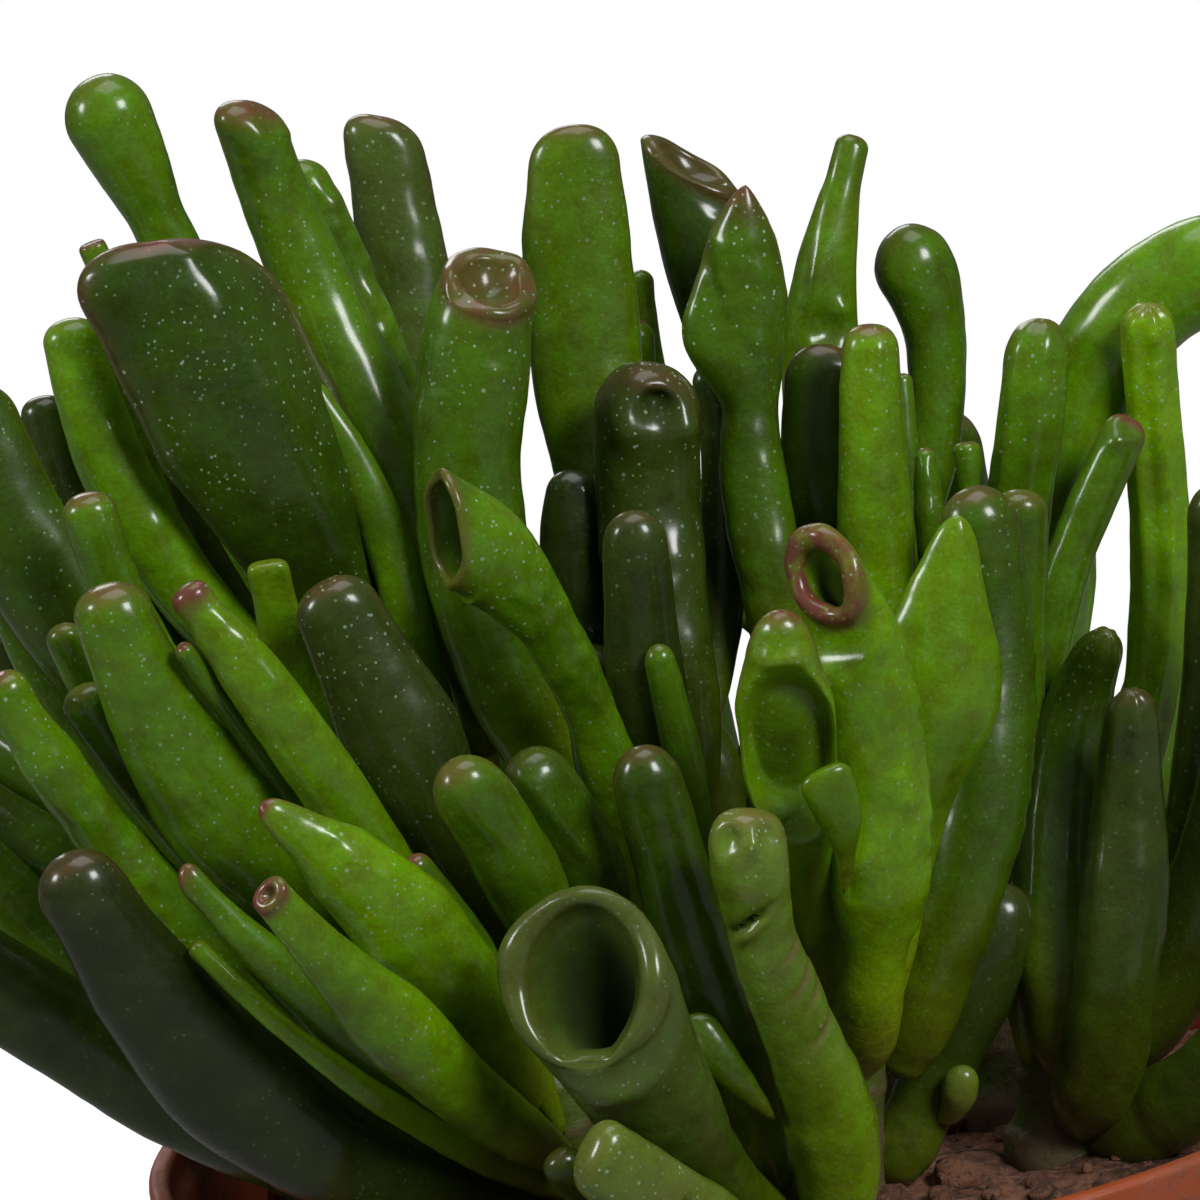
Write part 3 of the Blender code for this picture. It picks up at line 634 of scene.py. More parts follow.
# Each leaf: its line from base to tip, its widths near the base, in the middle and near the tip, how
# thick it is as a share of its width, and its end: round, or a cup whose mouth faces the given way.
ROUND = None
LEAVES = {
    "club_far_left": (((-30, 6, 150), (-44, 10, 191), (-49, 10, 208)), (5.6, 5.4, 8.2), 0.85, ROUND),
    "finger_left": (((-27, 0, 139), (-29, 2, 179), (-35.5, 4, 204.5)), (8.4, 7.7, 6.7), 0.85, ROUND),
    "ridged_left": (((-25, 7, 146), (-27, 11, 178), (-32, 12, 197)), (6.0, 7.0, 5.6), 0.8, ROUND),
    "dark_left_back": (((-25, 13, 136), (-23, 21, 181), (-23, 24, 198)), (6.5, 8.4, 7.9), 0.7, ROUND),
    "broad_left": (((-30, -6, 142), (-38, -8, 174), (-45, -8, 195)), (9.0, 18.4, 19.0), 0.34, ROUND),
    "striped_left": (((-34, -4, 140), (-52, -4, 174), (-54, -2, 188)), (5.1, 5.8, 5.0), 0.8, ROUND),
    "wide_left": (((-33, -9, 132), (-60, -14, 168), (-65, -12, 185)), (7.0, 9.8, 10.0), 0.6, ROUND),
    "amber_left": (((-34, -12, 132), (-52, -24, 164), (-54, -25, 176)), (5.1, 6.1, 4.7), 0.8, ROUND),
    "long_red_tip": (((-23, -21, 119), (-37, -37, 151), (-46, -39, 169)), (5.6, 5.8, 4.2), 0.85, ROUND),
    "big_left_front": (((-27, -18, 120), (-48, -34, 151), (-53, -38, 170)), (7.0, 9.4, 7.0), 0.8, ROUND),
    "knob_tip": (((-21, -25, 117), (-33, -43, 139), (-42, -46, 150)), (6.5, 9.6, 5.6), 0.7, ROUND),
    "button_tip": (((-19, -32, 107), (-35, -52, 132), (-42, -56, 144)), (5.1, 7.0, 5.6), 0.8, (-5, -7, 5)),
    "crescent_left": (((-22, -24, 112), (-42, -44, 133), (-50, -45, 145)), (4.7, 6.5, 3.8), 0.7, ROUND),
    "red_tip_left": (((-26, -20, 108), (-57, -34, 147), (-64, -36, 163)), (5.6, 5.8, 4.7), 0.85, ROUND),
    "dark_front_left": (((-20, -24, 99), (-52, -42, 129), (-60, -46, 148)), (9.5, 12.0, 8.0), 0.8, ROUND),
    "dark_low_left": (((-20, -19, 97), (-60, -32, 126), (-77, -35, 143)), (8.0, 10.3, 8.4), 0.75, ROUND),
    "low_left": (((-22, -13, 106), (-66, -20, 136), (-75, -18, 153)), (6.5, 8.4, 6.5), 0.8, ROUND),
    "dark_inner_left": (((-23, -12, 127), (-30, -22, 151), (-34, -22, 164)), (8.0, 10.7, 8.0), 0.7, ROUND),
    "cup_tall": (((-14, -4, 128), (-20, -8, 166), (-15, -8, 186)), (8.5, 10.3, 10.4), 0.85, (1, -6, 8)),
    "paddle": (((-8, 4, 132), (-7, 12, 177), (-5, 14, 196)), (7.5, 9.9, 9.0), 0.5, ROUND),
    "cup_dark": (((-6, -4, 132), (-3.4, 0, 160.6), (-1.3, 0, 174.4)), (7.5, 9.8, 10.6), 0.85, (0, -6, 8)),
    "dark_inner": (((-6, -8, 128), (-6, -12, 154), (-5, -12, 164)), (6.5, 7.5, 5.6), 0.8, ROUND),
    "funnel_high": (((7, 12, 144), (5, 18, 176), (5.2, 20, 189)), (4.2, 4.4, 8.2), 0.9, (5, -3, 6)),
    "spoon_high": (((4, 4, 136), (7, 6, 169), (10, 8, 189)), (7.4, 7.7, 9.2), 0.75, ROUND),
    "horn": (((11, 12, 144), (16, 16, 176), (21, 18, 190)), (6.2, 6.2, 2.7), 0.8, ROUND),
    "finger_centre": (((15, 2, 128), (17.4, 1, 159), (19.4, 3, 175)), (7.0, 7.0, 5.9), 0.85, (0, -4, 9)),
    "s_curve": (((14, 12, 138), (24.8, 19, 162), (25.9, 20, 172), (23.1, 20, 180)), (5.1, 5.8, 7.5), 0.85, ROUND),
    "finger_right": (((25, 10, 125), (32, 12, 157), (36, 12, 171)), (5.6, 6.5, 6.2), 0.85, ROUND),
    "arching_right": (
        ((26, 16, 120), (37, 18, 158), (46, 17, 170), (57, 14, 173)),
        (6.5, 9.8, 10.0),
        0.85,
        ROUND,
    ),
    "ring": (
        ((6, -18, 110), (10.6, -27, 124), (12.4, -29.5, 140), (10.9, -32, 159)),
        (5.6, 8.4, 9.6),
        0.75,
        (-3, -9, 2),
    ),
    "slim_right": (
        ((30, 10, 114), (38.6, 11.5, 127.5), (43.8, 12.5, 147.6), (46, 12, 171.5)),
        (4.7, 4.9, 4.7),
        0.85,
        ROUND,
    ),
    "pink_cup_right": (((26.5, 6, 116), (31.6, 5.5, 142), (42.6, 7, 161.5)), (4.8, 4.8, 4.6), 0.9, (4, -6, 5)),
    "spout": (((6.2, -17, 117), (5.8, -31.5, 143.7), (6.9, -34, 158)), (4.7, 7.5, 7.2), 0.75, (-6, -5, 6)),
    "flat_bright": (((9.4, -14, 117), (19.6, -18, 144), (24.2, -17, 160)), (4.4, 10.4, 6.5), 0.45, ROUND),
    "crescent_right": (
        ((7, -14, 109), (17, -14, 118), (23.2, -11, 133), (26, -6, 160)),
        (6.5, 8.8, 7.3),
        0.75,
        ROUND,
    ),
    "upright_right": (((24, 2, 103), (29, -2, 122), (37, -4, 144)), (7.2, 7.4, 5.2), 0.85, ROUND),
    "upright_right_front": (((26, -6, 99), (34, -12, 119), (38, -12, 140)), (7.6, 7.9, 5.6), 0.85, ROUND),
    "dark_far_right": (((31, 0, 103), (44.5, -6, 121), (52.2, -6, 151)), (7.4, 9.6, 8.4), 0.85, ROUND),
    "low_right": (((30, -6, 97), (42, -18, 106), (54, -25, 118)), (7.4, 8.0, 6.5), 0.8, ROUND),
    "trumpet": (
        ((-2, -29, 99), (-9, -40.5, 110.5), (-12.4, -48.5, 120.6), (-15.8, -54, 131.7)),
        (7.5, 11.6, 16.0),
        0.95,
        (-4, -9, 4),
    ),
    "front_stub": (((-2, -30, 97), (-11, -54, 109), (-18, -60, 118)), (5.6, 8.4, 7.0), 0.7, ROUND),
    "cracked_front": (
        ((3.9, -27, 98.4), (3.7, -35, 113), (0.7, -41, 128.3), (0.8, -44, 142)),
        (8.0, 6.7, 6.9),
        0.8,
        (-2, -4, 9),
    ),
    "front_slim": (((0, -23, 103), (-6, -32, 130), (-8, -34, 147)), (6.5, 7.5, 6.4), 0.85, ROUND),
    "ear": (
        ((-6, -8, 122), (-12.5, -20, 150), (-16.5, -24, 161), (-22, -27, 168)),
        (7.0, 5.8, 9.8),
        0.7,
        (-9, -4, 2),
    ),
    "pair_left": (((-17, -17, 122), (-21, -34, 139), (-25, -38, 149)), (5.6, 7.5, 7.0), 0.85, (0, -4, 8)),
    "pair_right": (((-15, -15, 120), (-15, -27, 137), (-19, -30, 147)), (5.1, 6.5, 5.6), 0.85, ROUND),
}

# Leaves too small or too hidden to be solids of their own, in the same way.
SMALL_LEAVES = {
    "stub_left": (((-30, 5, 142), (-46, 7, 174), (-51.3, 8, 193)), (2.6, 2.6, 2.6), 0.9, ROUND),
    "shade_far_left": (((-30, 3, 138), (-49.6, 0, 168), (-51.2, 1, 184)), (4.0, 4.4, 4.2), 0.8, ROUND),
    "dark_stub_left": (((-29, 1, 132), (-55, 1, 164), (-58, 4, 180)), (4.5, 5.6, 4.4), 0.85, ROUND),
    "bud_left_a": (((-24, -20, 122), (-52, -24, 148), (-58, -28, 165)), (3.6, 4.0, 3.6), 0.8, ROUND),
    "bud_left_b": (((-24, -21, 118), (-50, -28, 144), (-57, -33, 160)), (4.0, 4.6, 4.6), 0.8, ROUND),
    "small_red_tip": (((-23, -23, 118), (-41, -34, 150), (-47, -40, 164)), (2.4, 2.2, 1.9), 0.9, ROUND),
    "pale_curl": (((-22, -26, 103), (-31, -38, 115), (-42, -46, 128), (-50, -45, 138)), (3.2, 2.3, 1.9), 0.7, ROUND),
    "edge_red": (((-23, -12, 120), (-59, -13, 152), (-64, -10, 167)), (4.2, 4.4, 4.0), 0.85, ROUND),
    "edge_dark": (((-24, -8, 122), (-60, -4, 146), (-66, -2, 161)), (4.7, 5.0, 4.6), 0.8, ROUND),
    "small_top_a": (((9, 12, 146), (-0.6, 20, 164), (-0.8, 24, 179.5)), (3.0, 3.0, 2.8), 0.85, ROUND),
    "small_top_b": (((5, 10, 146), (-2.4, 17, 165), (-1.8, 20, 175.5)), (3.4, 4.0, 3.0), 0.6, ROUND),
    "shaded_broad": (((10, 9, 134), (13, 11, 158), (15, 11, 172)), (6.4, 9.0, 7.5), 0.5, ROUND),
    "slim_shaded": (((12, 6, 130), (20, 9, 152), (22, 12, 168)), (2.3, 2.2, 2.1), 0.9, ROUND),
    "tiny_a": (((21, 12, 126), (22, 8, 148), (23, 10, 161)), (2.4, 2.3, 2.3), 0.9, ROUND),
    "tiny_b": (((24, 12, 126), (26, 8, 148), (27, 10, 161)), (2.3, 2.3, 2.2), 0.9, ROUND),
    "behind_flat": (((24, 2, 105), (28.4, 0, 139), (30.6, -2, 158)), (5.0, 6.0, 5.2), 0.75, ROUND),
    "front_small": (((-1, -28, 97), (-16, -45, 107), (-21, -50, 115)), (3.4, 4.2, 3.8), 0.8, ROUND),
    "front_pale_tip": (((-20, -22, 113), (-27, -36, 132), (-30, -41, 141)), (3.4, 3.8, 3.2), 0.8, ROUND),
    "flat_square": (((-25, -12, 126), (-38, -14, 152), (-39, -14, 165)), (4.6, 6.4, 3.8), 0.5, ROUND),
    "slim_light": (((-26, -2, 138), (-29, -6, 162), (-33, -6, 178)), (4.4, 4.4, 2.8), 0.6, ROUND),
    "low_light": (((-24, -15, 126), (-35, -15, 144), (-42, -14, 153)), (3.0, 3.4, 3.2), 0.8, ROUND),
    "slim_centre": (((-5, -5, 120), (-4, -13, 138), (-5, -15, 152)), (3.4, 3.8, 2.8), 0.85, ROUND),
    "grey_cross": (((-2, -2, 126), (-6, -3, 142), (-12, -4, 150)), (6.0, 8.2, 7.6), 0.7, ROUND),
    "shade_high": (((-5, 4, 134), (2.2, 8, 152), (3.9, 10, 172)), (4.4, 4.6, 3.0), 0.8, ROUND),
    "under_crescent": (((8, -14, 96), (15, -9, 105), (25, -5, 122)), (5.5, 7.9, 7.0), 0.75, ROUND),
    "tongue": (((8.6, -32, 131), (9, -35, 137), (8, -36.5, 143)), (1.8, 4.2, 5.4), 0.3, ROUND),
    "strip_left": (((-30, 0, 138), (-45, 5, 160), (-49, 6, 175)), (4.5, 5.0, 4.0), 0.6, ROUND),
    "fill_left": (((-31, 0, 136), (-48, 4, 152), (-55, 6, 172)), (4.5, 5.5, 4.5), 0.6, ROUND),
    "fill_far_left": (((-28, 2, 132), (-58, 6, 160), (-66, 8, 176)), (4.5, 6.0, 5.0), 0.7, ROUND),
    "low_point": (((-1.5, -36, 112), (-4.5, -37, 117), (-7.5, -36, 122)), (2.4, 3.8, 4.0), 0.5, ROUND),
    "pale_bud": (((15, -9, 101.5), (16.2, -11, 103), (17.4, -12, 107)), (2.6, 3.4, 3.4), 0.8, ROUND),
    "shade_window": (((2, 6, 110), (2.3, 7, 124), (2.6, 8, 136)), (3.0, 3.2, 2.8), 0.8, ROUND),
    "shade_wedge": (((-5, 0, 126), (-8.9, 2, 145), (-9.4, 3, 165.3)), (5.0, 6.2, 5.4), 0.7, ROUND),
    "dark_edge_right": (((31, 0, 104), (42.5, -3, 123.5), (49, -4, 156)), (5.5, 6.4, 6.0), 0.8, ROUND),
    "low_gap_mid": (((-23, -14, 107), (-52, -17, 132), (-73, -18, 150)), (5.0, 7.0, 6.5), 0.7, ROUND),
    "low_gap_left": (((-23, -14, 108), (-52, -14, 136), (-70, -12, 153)), (5.0, 7.0, 6.4), 0.7, ROUND),
    "low_gap_far": (((-23, -14, 106), (-56, -8, 128), (-76, -4, 146)), (5.0, 6.5, 6.0), 0.7, ROUND),
}

# The leaves of each back shoot, each by how far up the stem it grows, its compass angle (90 is the
# back), its lean from upright, its length and its width.
BACK_LEAVES = {
    "shoot_back_left": (
        (0.2, 195, 64, 52, 9.5),
        (0.25, 112, 62, 44, 8.5),
        (0.3, 158, 58, 56, 9.0),
        (0.4, 228, 56, 46, 7.5),
        (0.5, 70, 50, 46, 8.0),
        (0.6, 135, 44, 52, 8.5),
        (0.7, 185, 40, 50, 8.0),
        (0.85, 95, 28, 44, 7.5),
        (0.92, 160, 20, 40, 7.5),
        (1.0, 215, 8, 42, 8.0),
    ),
    "shoot_back_centre": (
        (0.2, 60, 60, 46, 9.0),
        (0.25, 122, 60, 50, 8.5),
        (0.35, 90, 54, 52, 9.0),
        (0.45, 28, 52, 44, 7.5),
        (0.55, 148, 46, 40, 8.0),
        (0.7, 82, 38, 46, 6.5),
        (0.85, 88, 26, 44, 8.5),
        (1.0, 90, 6, 38, 7.5),
    ),
    "shoot_back_right": (
        (0.2, 15, 62, 46, 9.0),
        (0.25, 98, 60, 46, 8.5),
        (0.35, 55, 56, 50, 9.0),
        (0.45, -22, 56, 44, 7.5),
        (0.6, 80, 42, 42, 8.0),
        (0.75, 66, 36, 44, 8.5),
        (0.9, 120, 26, 38, 7.5),
        (1.0, 100, 6, 32, 7.5),
    ),
}


# How each leaf is finished: its kind, how many stops lighter it is, how red its end is, how many pores
# show, and its end: how blunt a round one is, or how open and how deep a cup is, in millimetres. How
# much lighter is partly the leaf's own tone and partly painted light and shade: raised on leaves that
# lie in shade, lowered on others to make them look shaded.
FINISHES = {
    "club_far_left": ("leaf_green", 0.2, 0.35, 0.4, 2.1),
    "finger_left": ("leaf_green", 0.1, 0.8, 0.8, 2.2),
    "ridged_left": ("leaf_green", 0.2, 0.3, 0.6, 2.0),
    "dark_left_back": ("leaf_dark", 0.9, 0.6, 0.6, 2.9),
    "broad_left": ("leaf_green", -1.3, 1.0, 1.0, 2.6),
    "striped_left": ("leaf_green", 0.9, 0.5, 0.4, 2.2),
    "wide_left": ("leaf_green", -0.9, 0.3, 0.7, 2.4),
    "amber_left": ("leaf_green", 0.1, 0.8, 0.4, 2.2),
    "long_red_tip": ("leaf_bright", 0.1, 1.3, 0.8, 2.3),
    "big_left_front": ("leaf_green", 0.2, 0.7, 0.7, 2.2),
    "knob_tip": ("leaf_bright", 0.15, 1.0, 0.9, 2.0),
    "button_tip": ("leaf_bright", -0.1, 1.0, 0.7, (0.4, 0.3)),
    "crescent_left": ("leaf_green", 0.0, 0.9, 0.5, 2.2),
    "red_tip_left": ("leaf_green", 0.3, 0.9, 1.0, 2.2),
    "dark_front_left": ("leaf_dark", -1.0, 0.35, 0.25, 2.1),
    "dark_low_left": ("leaf_dark", 0.0, 0.2, 0.2, 2.1),
    "low_left": ("leaf_green", -0.5, 0.2, 0.3, 2.1),
    "dark_inner_left": ("leaf_dark", -0.2, 0.4, 0.7, 2.2),
    "cup_tall": ("leaf_green", -0.4, 0.7, 0.9, (0.62, 1.3)),
    "paddle": ("leaf_bright", -0.6, 0.7, 0.5, 2.3),
    "cup_dark": ("leaf_dark", 0.1, 0.4, 0.9, 2.2),
    "dark_inner": ("leaf_dark", -0.3, 0.3, 0.3, 2.1),
    "funnel_high": ("leaf_green", -0.9, 0.45, 0.3, (0.66, 1.1)),
    "spoon_high": ("leaf_green", -0.4, 0.9, 1.1, 1.7),
    "horn": ("leaf_bright", -0.35, 1.0, 0.3, 2.4),
    "finger_centre": ("leaf_bright", 0.0, 1.0, 0.8, 2.5),
    "s_curve": ("leaf_green", -0.1, 0.35, 0.4, 2.1),
    "finger_right": ("leaf_green", 0.3, 0.5, 0.7, 2.1),
    "arching_right": ("leaf_green", 0.7, 0.1, 0.4, 2.1),
    "ring": ("leaf_bright", 0.1, 1.0, 0.6, (0.5, 5.0)),
    "slim_right": ("leaf_bright", 0.5, 0.6, 1.0, 2.0),
    "pink_cup_right": ("leaf_green", 0.2, 1.0, 0.5, 2.6),
    "spout": ("leaf_bright", 0.0, 0.9, 0.5, 2.1),
    "flat_bright": ("leaf_bright", -0.1, 0.15, 0.2, 1.9),
    "crescent_right": ("leaf_green", -0.8, 0.6, 0.4, 2.0),
    "upright_right": ("leaf_green", -1.1, 0.2, 0.4, 2.0),
    "upright_right_front": ("leaf_dark", 0.0, 0.3, 0.2, 2.0),
    "dark_far_right": ("leaf_dark", -0.6, 0.2, 0.2, 2.0),
    "low_right": ("leaf_dark", 0.3, 0.2, 0.2, 2.1),
    "trumpet": ("leaf_dark", 0.95, 0.15, 0.3, (0.7, 14.0)),
    "front_stub": ("leaf_dark", 2.0, 0.3, 0.9, 2.8),
    "cracked_front": ("leaf_dark", 2.2, 0.5, 0.9, 2.6),
    "front_slim": ("leaf_green", -1.0, 0.4, 0.3, 2.1),
    "ear": ("leaf_green", 0.25, 0.5, 1.0, (0.8, 6.0)),
    "pair_left": ("leaf_green", 0.0, 0.5, 0.3, 2.1),
    "pair_right": ("leaf_green", -0.6, 0.2, 0.3, 2.1),
    "stub_left": ("leaf_green", 0.4, 1.3, 0.2, 4.5),
    "shade_far_left": ("leaf_green", 0.8, 0.2, 0.5, 2.1),
    "dark_stub_left": ("leaf_dark", 0.0, 0.3, 0.3, 2.4),
    "bud_left_a": ("leaf_green", 0.0, 0.5, 0.4, 2.2),
    "bud_left_b": ("leaf_green", 0.1, 0.4, 0.4, 2.2),
    "small_red_tip": ("leaf_green", 0.0, 1.0, 0.3, 2.2),
    "pale_curl": ("leaf_bright", 0.0, 0.9, 0.3, 2.2),
    "edge_red": ("leaf_green", -0.2, 0.9, 0.4, 2.2),
    "edge_dark": ("leaf_dark", 0.1, 0.3, 0.3, 2.2),
    "small_top_a": ("leaf_bright", 0.0, 0.4, 0.3, 2.2),
    "small_top_b": ("leaf_bright", 0.2, 0.9, 0.3, 1.8),
    "shaded_broad": ("leaf_green", -1.1, 0.5, 0.2, 2.2),
    "slim_shaded": ("leaf_green", -0.2, 0.8, 0.4, 2.2),
    "tiny_a": ("leaf_green", 0.0, 0.6, 0.4, 2.2),
    "tiny_b": ("leaf_green", 0.0, 0.6, 0.4, 2.2),
    "behind_flat": ("leaf_green", 0.0, 0.5, 0.4, 2.2),
    "front_small": ("leaf_dark", 0.3, 0.2, 0.3, 2.2),
    "front_pale_tip": ("leaf_green", -0.1, 0.9, 0.4, 2.2),
    "flat_square": ("leaf_bright", 0.0, 0.3, 0.4, 4.0),
    "slim_light": ("leaf_green", 0.2, 0.3, 0.4, 2.0),
    "low_light": ("leaf_bright", 0.0, 0.3, 0.4, 2.2),
    "slim_centre": ("leaf_green", 0.0, 0.3, 0.3, 2.0),
    "grey_cross": ("leaf_dark", 0.2, 0.1, 0.2, 2.2),
    "shade_high": ("leaf_dark", 0.0, 0.2, 0.3, 2.0),
    "under_crescent": ("leaf_dark", -0.1, 0.2, 0.2, 2.2),
    "tongue": ("leaf_bright", -0.6, 0.0, 0.1, 3.0),
    "strip_left": ("leaf_dark", 0.4, 0.0, 0.2, 2.2),
    "fill_left": ("leaf_green", -0.3, 0.2, 0.3, 2.2),
    "fill_far_left": ("leaf_green", -0.2, 0.2, 0.3, 2.2),
    "low_point": ("leaf_bright", -1.1, 0.0, 0.1, 1.9),
    "pale_bud": ("leaf_bright", -0.3, 0.0, 0.1, 2.2),
    "low_gap_mid": ("leaf_green", -0.5, 0.3, 0.4, 2.2),
    "shade_wedge": ("leaf_dark", -0.6, 0.1, 0.1, 2.2),
    "shade_window": ("leaf_dark", -0.6, 0.1, 0.1, 2.2),
    "dark_edge_right": ("leaf_dark", -0.2, 0.2, 0.3, 2.1),
    "low_gap_left": ("leaf_green", -0.3, 0.3, 0.6, 2.2),
    "low_gap_far": ("leaf_green", -0.8, 0.3, 0.4, 2.2),
}
